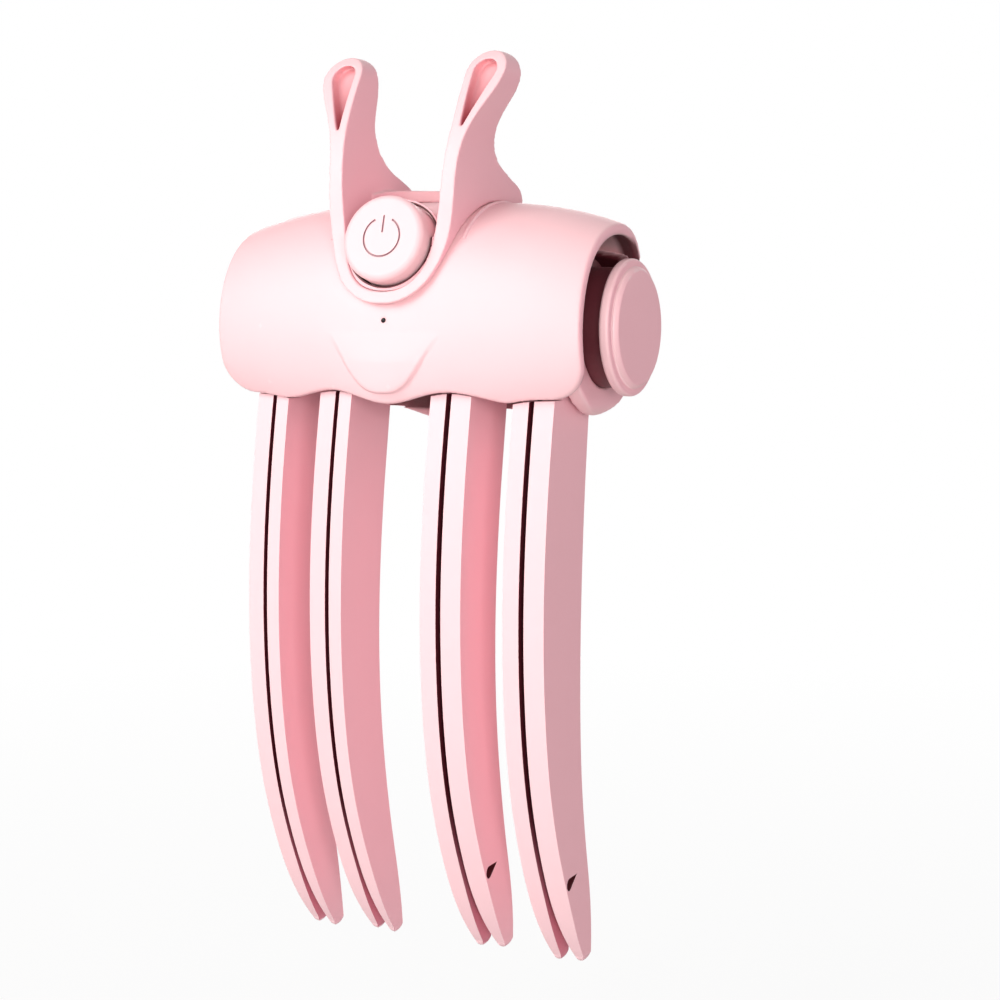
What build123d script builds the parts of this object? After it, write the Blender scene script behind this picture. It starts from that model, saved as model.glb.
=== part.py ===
from build123d import *
import math
import os

# Heated root volumizing clip, closed, in millimetres.
# X runs along the battery barrel, Y points to the back and Z points up.
# The origin is the middle of the barrel's axis, about which the front jaw swings.

# Battery and the barrel that holds it, which is also the hinge pin
cell_radius = 9.2
cell_length = 65.0
cell_gap = 0.15
barrel_wall = 1.2
running_gap = 0.05
seat_gap = 0.02
cell_edge = 0.4
contact_radius = 7.5
contact_height = 1.11
contact_thickness = 0.4
contact_dome_radius = 3.4
contact_tip_radius = 2.0

# End caps
cap_radius = 12.0
cap_flange = 1.9
cap_disc_radius = 10.6
cap_disc_height = 1.1
cap_bevel = 0.7
cap_round = 0.6
cap_spigot = 2.0

# Charging inlet in the left cap
socket_width = 8.94
socket_height = 3.2
socket_length = 6.4
socket_wall = 0.3
socket_gap = 0.1
socket_back = 0.6
tongue_width = 6.6
tongue_thickness = 0.7
tongue_set_back = 0.8
board_thickness = 1.0
board_gap = 0.1

# Front cover: radii of its section at the middle and at the ends
cover_end_gap = 0.86
cover_top = (22.3, 18.0)
cover_front = (20.4, 17.6)
cover_chin = (21.6, 17.7)
cover_round_angles = (0.0, 40.0, 80.0, 140.0, 180.0)
cover_chin_angle = -118.0
cover_front_angle = -84.0
cover_shoulder_angle = -45.0
cover_shoulder_share = 0.25
cover_sections = 6
chin_bulge = 1.9
chin_half_width = 17.0
cover_wall = 2.2
cover_rear_angle = 48.0
cover_rear_set_in = 1.8
cover_rear_depth = 14.0
cover_corner = 6.5
cover_edge_round = 0.7
hem_middle = -13.3
hem_peak_share = 0.308333
hem_peak = -11.1
hem_lobe_share = 0.594444
hem_lobe = -12.8
hem_end = -12.1
moving_gap = 0.4

# Apron, the raised bell on the cover's front
apron_drop = 1.2
apron_half_width = 12.3
apron_top = -0.7
apron_waist_x = 8.0
apron_waist = -5.2
apron_bottom = -11.2

# Finger ears and the collar round the button
collar_bottom = 4.2
collar_inner_bottom = 6.3
ear_outer = [(3.2, 4.6), (7.8, 7.4), (10.6, 12.3), (12.4, 24.0), (13.4, 33.0), (15.8, 38.6), (17.6, 42.2)]
ear_inner = [(8.6, 15.1), (10.1, 30.4)]
tip_x = 14.3
tip_z = 44.35
tip_radius = 3.8
ear_seat_gap = 0.1
ear_face = [(-22.4, 2.6), (-20.1, 9.2), (-18.3, 15.0), (-17.8, 20.5), (-17.2, 27.0), (-15.5, 33.0), (-12.4, 39.3)]
ear_back = [(-2.7, 42.0), (-4.0, 36.0), (-2.5, 31.0), (1.7, 27.9), (7.8, 25.4), (10.4, 22.2)]
ear_foot = [(10.4, 14.0), (-14.0, 1.0)]
tip_side_y = -4.9
tip_side_z = 46.2
tip_side_radius = 2.2
tip_start_angle = 131.0
tip_middle_angle = 65.0
bridge_half_width = 9.9
bridge_rise = 2.2
bridge_front = -7.0
bridge_rear = 9.0
dish_radius = 9.3
dish_y = -7.5
scoop_low_x = 12.05
scoop_low_z = 33.6
scoop_top_x = 14.1
scoop_top_z = 44.4
scoop_radius = 2.2
scoop_depth = 2.6

# Power button, its axis tilted up from the front
button_y = -20.9
button_z = 15.7
button_tilt = 16.0
button_radius = 7.75
button_round = 1.1
button_skirt = 7.3
button_flange = 0.8
button_flange_rim = 0.7
button_travel = 0.6
button_gap = 0.3
symbol_radius = 3.5
symbol_width = 0.34
symbol_depth = 0.3
symbol_gap_angle = 56.0
symbol_bar_low = 0.8
symbol_bar_high = 3.9

# Bezel, switch and control board behind the button
bezel_front = 3.0
bezel_back = 7.0
bezel_upper_front = 6.0
seam_gap = 0.1
switch_side = 6.0
switch_height = 3.5
plunger_radius = 1.7
plunger_reach = 1.4
control_half_width = 12.0
control_low = -2.4
control_high = 6.0
post_x = 10.3
post_offset = 1.0
post_radius = 1.5
post_height = 7.0
bezel_reach = -10.0

# Status light
light_z = 1.25
light_radius = 0.5
light_head_radius = 1.1
light_head = 0.8
light_recess = 0.15

# Blades: front and back edges at shares of the length, for a blade at blade_reference_x
blade_root = -12.0
blade_length_outer = 104.0
blade_length_inner = 102.6
blade_shares = (0.0, 0.155, 0.36, 0.54, 0.71, 0.83, 0.93)
blade_front = (-14.4, -17.1, -18.8, -17.9, -14.3, -9.4, -3.6)
blade_back_outer = (0.6, -1.3, -2.8, -3.0, -1.6, 0.8, 3.2)
blade_back_inner = (0.1, -2.5, -4.7, -4.6, -2.3, 0.4, 3.2)
blade_tip_y = 3.0
blade_tip_half = 1.75
blade_tip_rise = 1.2
blade_taper_length = 17.0
blade_taper_end = 0.9
blade_reference_x = 26.0
blade_rake = 0.19
blade_end_room = 3.6
spring_room = 7.4
front_blade_width = 2.8
back_blade_width = 3.5
pair_gap = 0.9
root_top = -6.0
root_front = -12.6
root_rear = 3.5
hem_clearance = 0.3

# Hinge knuckles, one on each blade's root
knuckle_wall = 1.8
lug_half_angle = 13.0
front_lug_angle = -100.0
back_lug_angle = 108.0

# Heater plates let into the blades' facing sides
heater_thickness = 1.0
heater_width = 6.0
heater_gap = 0.08

# Teardrop notch near the tips of the back blades
notch_share = 0.836
notch_point_share = 0.824
notch_y = -7.45
notch_point_y = -4.0
notch_radius = 1.15
notch_depth = 1.9

# Carriers, the curved plates that tie the blades together
carrier_gap = 0.35
carrier_thickness = 0.9
front_carrier_margin = 1.7
front_carrier_low_angle = -128.0
front_carrier_high_angle = -76.0
back_carrier_high_angle = 94.0
back_carrier_low_angle = 142.0

# Screws
screw_radius = 0.8
screw_head_radius = 1.4
screw_head = 0.7
screw_gap = 0.05
screw_inset = 0.1
blade_screw_length = 2.3
board_screw_length = 3.0
screw_bite = 3.2
inner_screw_room = 3.3
front_screw_angle = -98.0
back_screw_angle = 124.0
boss_radius = 2.0
boss_gap = 0.05
back_screw_rise = 0.3
slot_end_gap = 1.5
hinge_travel_angle = 28.0

# Back cover with the thumb lever
back_rear = (19.6, 15.2)
back_bottom = (17.0, 14.7)
back_rear_angles = (0.0, 45.0, 90.0)
back_bottom_angles = (150.0, 180.0, 240.0, 300.0)
back_sections = 4
back_wall = 1.6
back_set_in = 2.7
back_top_angle = 38.0
back_hem_drop = 3.9
back_blade_edge = 2.4
back_end_width = 2.7
back_end_top = -4.8
web_thickness = 1.5
lever_half_width = 12.0
lever_thickness = 2.4
lever_points = [(16.4, -4.6), (22.0, -4.0), (25.0, 1.0), (25.2, 9.0), (26.4, 18.0)]
lever_round = 0.9
rib_radius = 0.7
rib_heights = (7.0, 10.5, 14.0)
rib_margin = 2.5

# Torsion springs round the barrel
spring_wire = 0.8
spring_gap = 0.5
spring_turns = 4
spring_pitch = 1.3
spring_leg = 2.6

# Sizes that follow from the ones above
cell_offset = (socket_length + board_gap + board_thickness - cap_spigot - cap_flange - cap_disc_height) / 2
barrel_half_length = cell_offset + cell_length / 2 + contact_height + cap_spigot
barrel_inner = cell_radius + cell_gap
barrel_radius = barrel_inner + barrel_wall
cover_half_length = barrel_half_length - cover_end_gap
hem_end_x = cover_half_length - cover_corner
hem_peak_x = hem_peak_share * cover_half_length
hem_lobe_x = hem_lobe_share * cover_half_length
back_half_length = cover_half_length - back_set_in
back_end_inner = back_half_length - back_end_width
pair_width = front_blade_width + pair_gap + back_blade_width
pair_outer_x = back_half_length - blade_end_room - pair_width
pair_inner_x = pair_outer_x - spring_room - pair_width
front_carrier_half = pair_outer_x + front_blade_width + front_carrier_margin
back_carrier_half = pair_outer_x + pair_width
cover_screw_x = (pair_inner_x - inner_screw_room, pair_outer_x - spring_room / 2)
bridge_radius = cover_top[0] + bridge_rise
knuckle_bore = barrel_radius + running_gap
knuckle_outer = knuckle_bore + knuckle_wall
carrier_inner = knuckle_outer + carrier_gap
carrier_outer = carrier_inner + carrier_thickness
cap_flange_x = barrel_half_length + cap_flange
cap_outer_x = cap_flange_x + cap_disc_height
board_x = -cap_outer_x + socket_length + board_gap
flange_depth = button_skirt + button_flange
switch_depth = flange_depth + button_travel + button_gap
board_depth = switch_depth + switch_height
well_radius = button_radius + button_gap
flange_radius = button_radius + button_flange_rim
well_clear_radius = flange_radius + button_gap
REACH = 60.0


def crown(x, pair):
    """Size at x along the barrel: full at the middle, falling by a cubic to the ends."""
    middle, end = pair
    return end + (middle - end) * (1 - abs(x / cover_half_length) ** 3)


def polar(radius, angle):
    """Point (y, z) at an angle from straight up, positive towards the back."""
    turn = math.radians(angle)
    return (radius * math.sin(turn), radius * math.cos(turn))


def ring_section(x, points):
    """Closed smooth section at x through (radius, angle) points."""
    place = Plane(origin=(x, 0, 0), x_dir=(0, 1, 0), z_dir=(1, 0, 0))
    curve = Spline(*[polar(radius, angle) for radius, angle in points], periodic=True)
    return place * make_face(curve)


def cover_section(x, inset):
    """Front cover's section at x: a swollen circle with a chin at the lower front."""
    top = crown(x, cover_top) - inset
    front = crown(x, cover_front) - inset
    swell = chin_bulge * math.cos(math.pi * x / 2 / chin_half_width) ** 2 if abs(x) < chin_half_width else 0
    chin = crown(x, cover_chin) + swell - inset
    shoulder = top - cover_shoulder_share * (top - front)
    return ring_section(x, [(top, angle) for angle in cover_round_angles] + [
        (chin, cover_chin_angle), (front, cover_front_angle), (shoulder, cover_shoulder_angle)])


def cover_body(inset, reach):
    """Solid inside the front cover's surface, shrunk by inset and lengthened by reach."""
    half = cover_half_length + reach
    steps = range(-cover_sections, cover_sections + 1)
    return loft([cover_section(half * step / cover_sections, inset) for step in steps])


def back_section(x, inset):
    """Back cover's section at x, fuller at the rear than at the bottom."""
    rear = crown(x, back_rear) - inset
    low = crown(x, back_bottom) - inset
    return ring_section(x, [(rear, angle) for angle in back_rear_angles] +
                        [(low, angle) for angle in back_bottom_angles])


def back_body(inset, reach):
    """Solid inside the back cover's surface, shrunk by inset and lengthened by reach."""
    half = back_half_length + reach
    steps = range(-back_sections, back_sections + 1)
    return loft([back_section(half * step / back_sections, inset) for step in steps])


def clear_body():
    """Body of revolution that the front cover passes over without touching."""
    half = cover_half_length
    steps = [half * step / back_sections for step in range(-back_sections, back_sections + 1)]
    curve = Spline(*[(x, 0, crown(x, cover_front) - cover_wall - moving_gap) for x in steps])
    foot = Polyline(curve @ 1, (half, 0, 0), (-half, 0, 0), curve @ 0)
    return revolve(make_face([curve] + list(foot.edges())), Axis.X)


def side_prism(edges, low, high, rake=0.0):
    """Outline in the YZ plane stretched from x = low to x = high, leaning back by rake."""
    width = high - low
    start = Pos(low, rake * (low - blade_reference_x), 0) * (Plane.YZ * make_face(edges))
    return extrude(start, width * math.hypot(1, rake), dir=(1, rake, 0))


def front_prism(edges, low, high):
    """Outline in the XZ plane, seen from the front, stretched from y = low to y = high."""
    place = Plane(origin=(0, high, 0), x_dir=(1, 0, 0), z_dir=(0, -1, 0))
    return extrude(place * make_face(edges), high - low)


def tube_x(outer, inner, low, high):
    """Tube about the barrel's axis from x = low to x = high."""
    ring = Circle(outer) - Circle(inner) if inner else Circle(outer)
    return extrude(Plane(origin=(low, 0, 0), x_dir=(0, 1, 0), z_dir=(1, 0, 0)) * ring, high - low)


def arc_plate(inner, outer, from_angle, to_angle, low, high):
    """Part of a tube about the barrel's axis between two angles."""
    middle = (from_angle + to_angle) / 2
    edges = [
        ThreePointArc(polar(outer, from_angle), polar(outer, middle), polar(outer, to_angle)),
        Line(polar(outer, to_angle), polar(inner, to_angle)),
        ThreePointArc(polar(inner, to_angle), polar(inner, middle), polar(inner, from_angle)),
        Line(polar(inner, from_angle), polar(outer, from_angle)),
    ]
    return side_prism(edges, low, high)


def radial_pin(radius, inner, outer, x, angle):
    """Round pin that points away from the axis, between two distances from it."""
    y, z = polar(1, angle)
    place = Plane(origin=(x, y * inner, z * inner), z_dir=(0, y, z))
    return extrude(place * Circle(radius), outer - inner)


def wedge(from_angle, to_angle, half):
    """Sector about the axis that reaches past the covers, for cutting them."""
    start, stop = polar(REACH, from_angle), polar(REACH, to_angle)
    outer = polar(REACH * 1.5, (from_angle + to_angle) / 2)
    edges = Polyline((0, 0), start, outer, stop, (0, 0)).edges()
    return side_prism(edges, -half, half)


def both_sides(shape):
    """The shape with its mirror image across the middle."""
    return shape + mirror(shape, Plane.YZ)


def hem_region(drop, half, rear):
    """All that lies above the scalloped hem, lowered by drop, from the front to y = rear."""
    right = [(hem_peak_x, hem_peak), (hem_lobe_x, hem_lobe), (hem_end_x, hem_end)]
    points = [(-x, z) for x, z in reversed(right)] + [(0, hem_middle)] + right
    curve = Spline(*[(x, z - drop) for x, z in points], tangents=[(1, 0), (1, 0)])
    radius = half - hem_end_x
    low, side = hem_end - drop, hem_end - drop + radius
    turn = radius * (1 - math.sqrt(0.5))
    corner = ThreePointArc((hem_end_x, low), (half - turn, low + turn), (half, side))
    other = ThreePointArc((-half, side), (-half + turn, low + turn), (-hem_end_x, low))
    sides = Polyline((half, side), (half, REACH), (-half, REACH), (-half, side))
    return front_prism([curve, corner, other] + list(sides.edges()), -REACH, rear)


def button_plane(depth):
    """Plane square to the button's axis at a depth below its face; its y axis points down."""
    tilt = math.radians(button_tilt)
    inward = (0, math.cos(tilt), -math.sin(tilt))
    origin = (0, button_y + depth * inward[1], button_z + depth * inward[2])
    return Plane(origin=origin, x_dir=(1, 0, 0), z_dir=inward)


def on_button(sketch, from_depth, to_depth):
    """Sketch on the button's axis, stretched between two depths."""
    return extrude(button_plane(from_depth) * sketch, to_depth - from_depth)


def collar_inner_edge(inset):
    """Inner outline of the collar and ear, right half, from the bottom to the tip."""
    side = ear_inner + [(tip_x - tip_radius, tip_z)]
    points = [(0, collar_inner_bottom + inset)] + [(x - inset, z) for x, z in side]
    return Spline(*points, tangents=[(1, 0), (0, 1)])


def ear_outline():
    """Front view of the collar's right half with its ear, as one closed outline."""
    outer = Spline((0, collar_bottom), *ear_outer, (tip_x + tip_radius, tip_z))
    tip = ThreePointArc((tip_x + tip_radius, tip_z), (tip_x, tip_z + tip_radius), (tip_x - tip_radius, tip_z))
    foot = Line((0, collar_bottom), (0, collar_inner_bottom))
    return [outer, tip, collar_inner_edge(0), foot]


def ear_profile():
    """Side view of the ears, closed through the inside of the cover."""
    def on_tip(angle):
        turn = math.radians(angle)
        return (tip_side_y + tip_side_radius * math.cos(turn), tip_side_z + tip_side_radius * math.sin(turn))

    start, middle, end = on_tip(tip_start_angle), on_tip(tip_middle_angle), on_tip(0)
    turn = math.radians(tip_start_angle)
    face = Spline(*ear_face, start, tangents=[(0.35, 1), (math.sin(turn), -math.cos(turn))])
    back = Spline(end, *ear_back, tangents=[(0, -1), (0.3, -1)])
    foot = Polyline(ear_back[-1], *ear_foot, ear_face[0])
    return [face, ThreePointArc(start, middle, end), back] + list(foot.edges())


def cover_rim_cut():
    """What the front cover keeps: above the hem in front, up to its rear edge behind, its ends bowed in there."""
    front = hem_region(0, cover_half_length, 0)
    rear = wedge(0, cover_rear_angle, cover_half_length)
    bow = (cover_rear_depth ** 2 + cover_rear_set_in ** 2) / (2 * cover_rear_set_in)
    for side in (-1, 1):
        rear &= Pos(side * (cover_half_length - bow), 0, 0) * Cylinder(bow, 2 * REACH)
    return front + rear


def teardrop(centre, radius, point):
    """Outline of a circle drawn out to a point by its two tangents."""
    away = Vector(*centre) - Vector(*point)
    half_turn = math.degrees(math.acos(radius / away.length))
    toward = away.normalized() * -radius
    first = Vector(*centre) + toward.rotate(Axis.Z, half_turn)
    second = Vector(*centre) + toward.rotate(Axis.Z, -half_turn)
    far = Vector(*centre) - toward
    return [Line(point, first), ThreePointArc(first, far, second), Line(second, point)]


def screw(place, length, grow=0.0):
    """Countersunk screw whose head lies on a plane and whose shank runs along its z axis."""
    head = loft([
        place * Circle(screw_head_radius + grow),
        place.offset(screw_head) * Circle(screw_radius + grow),
    ])
    return head + extrude(place * Circle(screw_radius + grow), length)


def radial_plane(x, angle, radius, outward):
    """Plane at a distance from the axis, facing away from it or towards it."""
    y, z = polar(1, angle)
    turn = 1 if outward else -1
    return Plane(origin=(x, y * radius, z * radius), x_dir=(1, 0, 0), z_dir=(0, y * turn, z * turn))


def screw_row(places_x, angle, radius, outward, length, grow=0.0):
    """Screws at the given places on both sides of the middle."""
    right = [screw(radial_plane(x, angle, radius, outward), length, grow) for x in places_x]
    return Compound(children=right + [mirror(one, Plane.YZ) for one in right])


def blade_x(front_jaw, outer_pair):
    """Lowest and highest x of a right-hand blade."""
    start = pair_outer_x if outer_pair else pair_inner_x
    if front_jaw:
        return start, start + front_blade_width
    start += front_blade_width + pair_gap
    return start, start + back_blade_width


def blade_length(outer_pair):
    """Length of a blade below its root."""
    return blade_length_outer if outer_pair else blade_length_inner


def blade_stations(outer_pair):
    """Front and back edge points (y, z) of a blade, from root to tip."""
    length = blade_length(outer_pair)
    backs = blade_back_outer if outer_pair else blade_back_inner
    heights = [blade_root - share * length for share in blade_shares]
    return list(zip(blade_front, heights)), list(zip(backs, heights))


def blade_outline(outer_pair):
    """Side view of a blade with its blunt tip and the root that meets the knuckle."""
    front, back = blade_stations(outer_pair)
    low = blade_root - blade_length(outer_pair)
    start = (blade_tip_y - blade_tip_half, low + blade_tip_rise)
    end = (blade_tip_y + blade_tip_half, low + blade_tip_rise)
    tip = ThreePointArc(start, (blade_tip_y, low), end)
    root = Polyline(back[0], (root_rear, root_top), (root_front, root_top), front[0])
    return [Spline(*front, start), tip, Spline(end, *reversed(back))] + list(root.edges())


def blade_front_view(low, high, outer_pair):
    """Front view of a blade, from x = low to x = high, whose two sides close in towards the tip."""
    middle = (low + high) / 2
    bottom = blade_root - blade_length(outer_pair) - blade_tip_rise
    start = blade_root - blade_length(outer_pair) + blade_taper_length
    right = TangentArc((high, start), (middle + blade_taper_end / 2, bottom), tangent=(0, -1))
    left = TangentArc((low, start), (middle - blade_taper_end / 2, bottom), tangent=(0, -1))
    head = Polyline((low, start), (low, REACH), (high, REACH), (high, start))
    return [right, Line(right @ 1, left @ 1), left] + list(head.edges())


def heater_outline(outer_pair, grow):
    """Side view of a heater plate, which follows the middle of its blade."""
    front, back = blade_stations(outer_pair)
    half = heater_width / 2 + grow
    middle = [((y + other) / 2, z) for (y, z), (other, _) in zip(front, back)][1:5]
    ends = [(middle[0][0], middle[0][1] + grow)] + middle[1:-1] + [(middle[-1][0], middle[-1][1] - grow)]
    left = Spline(*[(y - half, z) for y, z in ends])
    right = Spline(*[(y + half, z) for y, z in ends])
    return [left, Line(left @ 1, right @ 1), right, Line(right @ 0, left @ 0)]


def heater_side(front_jaw, outer_pair):
    """x of the blade's side that faces its neighbour, and the way into the blade."""
    low, high = blade_x(front_jaw, outer_pair)
    return (high, -1) if front_jaw else (low, 1)


def heater(front_jaw, outer_pair, grow=0.0):
    """Heater plate flush with the blade's facing side, or the pocket for it."""
    side, way = heater_side(front_jaw, outer_pair)
    inner = side + way * (heater_thickness + grow)
    outer = side - way * grow if grow else side
    return side_prism(heater_outline(outer_pair, grow), min(inner, outer), max(inner, outer), blade_rake)


def notch(outer_pair):
    """Teardrop pocket in a back blade's outward side."""
    high = blade_x(False, outer_pair)[1]
    length = blade_length(outer_pair)
    centre = (notch_y, blade_root - notch_share * length)
    point = (notch_point_y, blade_root - notch_point_share * length)
    return side_prism(teardrop(centre, notch_radius, point), high - notch_depth, high + notch_depth, blade_rake)


def carrier_slot(front_jaw):
    """Arc through the blades' roots in which the front carrier lies or swings."""
    swing = 0 if front_jaw else hinge_travel_angle
    gap = seam_gap if front_jaw else moving_gap
    return arc_plate(knuckle_outer, carrier_outer + gap, front_carrier_low_angle - slot_end_gap,
                     front_carrier_high_angle + swing + slot_end_gap, pair_inner_x - 1, back_half_length)


def blade(front_jaw, outer_pair, clear, hem):
    """Right-hand blade with its knuckle on the barrel and its lug for the carrier."""
    low, high = blade_x(front_jaw, outer_pair)
    body = side_prism(blade_outline(outer_pair), low, high, blade_rake)
    body &= front_prism(blade_front_view(low, high, outer_pair), -REACH, REACH)
    body -= hem & (Pos((low + high) / 2, 0, 0) * Box(high - low + 2, REACH, REACH)) - clear
    body -= carrier_slot(front_jaw)
    lug_angle = front_lug_angle if front_jaw else back_lug_angle
    knuckle = tube_x(knuckle_outer, 0, low, high)
    lug = arc_plate(knuckle_bore, carrier_inner, lug_angle - lug_half_angle, lug_angle + lug_half_angle, low, high)
    body += knuckle + lug
    body -= tube_x(knuckle_bore, 0, low - 1, high + 1)
    body -= heater(front_jaw, outer_pair, heater_gap)
    body -= screw(blade_screw_plane(front_jaw, outer_pair), blade_screw_length + screw_gap, screw_gap)
    return body if front_jaw else body - notch(outer_pair)


def blade_screw_plane(front_jaw, outer_pair):
    """Where a blade's screw head sits in the carrier, facing the axis."""
    angle = front_lug_angle if front_jaw else back_lug_angle
    return radial_plane(sum(blade_x(front_jaw, outer_pair)) / 2, angle, carrier_outer - screw_inset, False)


def blade_screws(front_jaw, grow=0.0):
    """The four screws that hold one jaw's blades to its carrier."""
    right = [screw(blade_screw_plane(front_jaw, outer), blade_screw_length + grow, grow) for outer in (False, True)]
    return Compound(children=right + [mirror(one, Plane.YZ) for one in right])


def front_cover_screws(grow=0.0):
    """Screws from inside the front carrier out into the cover's bosses."""
    return screw_row(cover_screw_x, front_screw_angle, carrier_inner + screw_inset, True,
                     carrier_thickness + screw_bite + grow, grow)


def back_screw_head(x):
    """Distance of a back cover screw's head from the axis."""
    return crown(x, back_bottom) + back_screw_rise


def back_cover_screws(grow=0.0):
    """Screws from outside the back cover through its bosses into the back carrier."""
    right = [
        screw(radial_plane(x, back_screw_angle, back_screw_head(x), False),
              back_screw_head(x) - carrier_inner + grow, grow)
        for x in cover_screw_x
    ]
    return Compound(children=right + [mirror(one, Plane.YZ) for one in right])


def head_access(places, angle, radius_at, reach):
    """Round wells that let the heads of outer screws in, on both sides."""
    right = [radial_pin(screw_head_radius + screw_gap, radius_at(x), reach, x, angle) for x in places]
    return Compound(children=right + [mirror(one, Plane.YZ) for one in right])


def bosses(angle, outer_at):
    """Posts that stand on a carrier under the cover's screws."""
    right = [radial_pin(boss_radius, carrier_outer + boss_gap, outer_at(x), x, angle) for x in cover_screw_x]
    return right[0] + right[1] + mirror(right[0], Plane.YZ) + mirror(right[1], Plane.YZ)


def front_carrier():
    """Curved plate inside the front jaw, with countersunk holes."""
    plate = arc_plate(carrier_inner, carrier_outer, front_carrier_low_angle, front_carrier_high_angle,
                      -front_carrier_half, front_carrier_half)
    return plate - blade_screws(True, screw_gap) - front_cover_screws(screw_gap)


def back_carrier():
    """Curved plate inside the back jaw, with countersunk holes."""
    plate = arc_plate(carrier_inner, carrier_outer, back_carrier_high_angle, back_carrier_low_angle,
                      -back_carrier_half, back_carrier_half)
    return plate - blade_screws(False, screw_gap) - back_cover_screws(screw_gap)


def apron(outer):
    """Raised bell below the status light: the cover's own form lowered inside the bell's outline."""
    side = [(apron_half_width, apron_top), (apron_waist_x, apron_waist), (0, apron_bottom),
            (-apron_waist_x, apron_waist), (-apron_half_width, apron_top)]
    bell = front_prism([Spline(*side, tangents=[(-1, -0.35), (-1, 0.35)]), Line(side[-1], side[0])], -REACH, 0)
    return (Pos(0, 0, -apron_drop) * outer) & bell


def lower_lobe(inset, rear):
    """All that lies inside the collar's inner outline, shrunk by inset, below the button's middle."""
    inner = collar_inner_edge(inset)
    right = [inner, Line(inner @ 1, (0, tip_z)), Line((0, tip_z), inner @ 0)]
    below = Pos(0, 0, button_z - REACH / 2) * Box(REACH, 2 * REACH, REACH)
    return both_sides(front_prism(right, -REACH, rear)) & below


def button_well():
    """Hole through the cover for the button, its flange and the bezel's lower lobe."""
    return lower_lobe(0, bezel_reach) + on_button(Circle(well_clear_radius), -REACH / 4, switch_depth)


def board_posts():
    """Posts from the cover's wall down to the control board."""
    post = on_button(Pos(post_x, -post_offset) * Circle(post_radius), board_depth - post_height, board_depth)
    return both_sides(post)


def board_screws(grow=0.0):
    """Two pan screws through the board into the cover's posts."""
    rear = board_depth + board_thickness
    pair = []
    for x in (-post_x, post_x):
        centre = Pos(x, -post_offset)
        head = on_button(centre * Circle(screw_head_radius + grow), rear, rear + screw_head)
        shank = on_button(centre * Circle(screw_radius + grow), rear - board_screw_length - grow, rear)
        pair.append(head + shank)
    return Compound(children=pair)


def light_pipe(grow=0.0):
    """Clear pin through the cover's front with its head inside."""
    surface = -crown(0, cover_front)
    place = Plane(origin=(0, surface + light_recess, light_z), x_dir=(1, 0, 0), z_dir=(0, 1, 0))
    pin = extrude(place * Circle(light_radius + grow), cover_wall)
    return pin + extrude(place.offset(cover_wall) * Circle(light_head_radius + grow), light_head)


def front_cover():
    """Upper shell of the front jaw with its apron, button well, posts and bosses."""
    outer, inner = cover_body(0, 0), cover_body(cover_wall, 2)
    shell = (outer - inner) & cover_rim_cut()
    shell = fillet([edge for edge in shell.edges() if edge.length > cover_wall * 2], cover_edge_round)
    shell += apron(outer) - inner
    shell += (board_posts() & outer) + bosses(front_screw_angle, lambda x: crown(x, cover_front) - cover_wall / 2)
    shell -= button_well() + light_pipe(seam_gap)
    return shell - front_cover_screws(screw_gap) - board_screws(screw_gap)


def ear_half():
    """Right half of the collar with its ear and the scoop in the ear's front."""
    half = front_prism(ear_outline(), -REACH / 2, REACH / 3) & side_prism(ear_profile(), -REACH / 2, REACH / 2)
    scoop = front_prism(teardrop((scoop_top_x, scoop_top_z), scoop_radius, (scoop_low_x, scoop_low_z)), -REACH / 2, 0)
    return half - (scoop - Pos(0, scoop_depth, 0) * side_prism(ear_profile(), -REACH / 2, REACH / 2))


def bridge_half():
    """Right half of the strip between the ears behind the button, hollowed for the finger."""
    strip = tube_x(bridge_radius, 0, 0, bridge_half_width)
    strip &= Pos(0, (bridge_front + bridge_rear) / 2, REACH / 2) * Box(REACH, bridge_rear - bridge_front, REACH)
    strip -= Pos(0, dish_y, 0) * Cylinder(dish_radius, REACH * 2)
    return strip


def ear_frame():
    """Both ears, the collar and the bridge as one moulding seated on the cover."""
    return both_sides(ear_half() + bridge_half() - cover_body(-ear_seat_gap, 0))


def power_button():
    """Button cap with a rounded edge, a retaining flange and an engraved power symbol."""
    cap = on_button(Circle(button_radius), 0, flange_depth)
    face_edge = cap.edges().sort_by(Axis(button_plane(0).origin, button_plane(0).z_dir))[0]
    cap = fillet(face_edge, button_round) + on_button(Circle(flange_radius), button_skirt, flange_depth)
    ring = Circle(symbol_radius + symbol_width / 2) - Circle(symbol_radius - symbol_width / 2)
    half = math.radians(symbol_gap_angle / 2)
    gap = Polyline((0, 0), (-2 * symbol_radius * math.sin(half), -2 * symbol_radius * math.cos(half)),
                   (2 * symbol_radius * math.sin(half), -2 * symbol_radius * math.cos(half)), (0, 0))
    bar_length = symbol_bar_high - symbol_bar_low
    bar = Pos(0, -(symbol_bar_low + symbol_bar_high) / 2) * SlotOverall(bar_length, symbol_width, 90)
    return cap - on_button(ring - make_face(gap.edges()) + bar, 0, symbol_depth)


def switch_plunger(grow=0.0, travel=0.0):
    """Pin behind the button that presses the switch, or the bore for it."""
    return on_button(Circle(plunger_radius + grow), flange_depth, flange_depth + plunger_reach + travel)


def button_bezel():
    """Pale ring round the button, wider below, where the collar leaves room."""
    lower = lower_lobe(seam_gap, REACH) & on_button(Circle(2 * well_clear_radius), bezel_front, bezel_back)
    upper = on_button(Circle(well_clear_radius - seam_gap), bezel_upper_front, bezel_back)
    return lower + upper - on_button(Circle(well_radius), 0, switch_depth)


def tact_switch():
    """Square push switch on the control board, with a bore for the plunger."""
    body = on_button(Rectangle(switch_side, switch_side), switch_depth, board_depth)
    return body - switch_plunger(running_gap, button_travel + seam_gap)


def control_board():
    """Board behind the button, screwed to two posts."""
    middle, height = -(control_low + control_high) / 2, control_high - control_low
    board = on_button(Pos(0, middle) * Rectangle(2 * control_half_width, height), board_depth,
                      board_depth + board_thickness)
    return board - board_screws(screw_gap)


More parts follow.
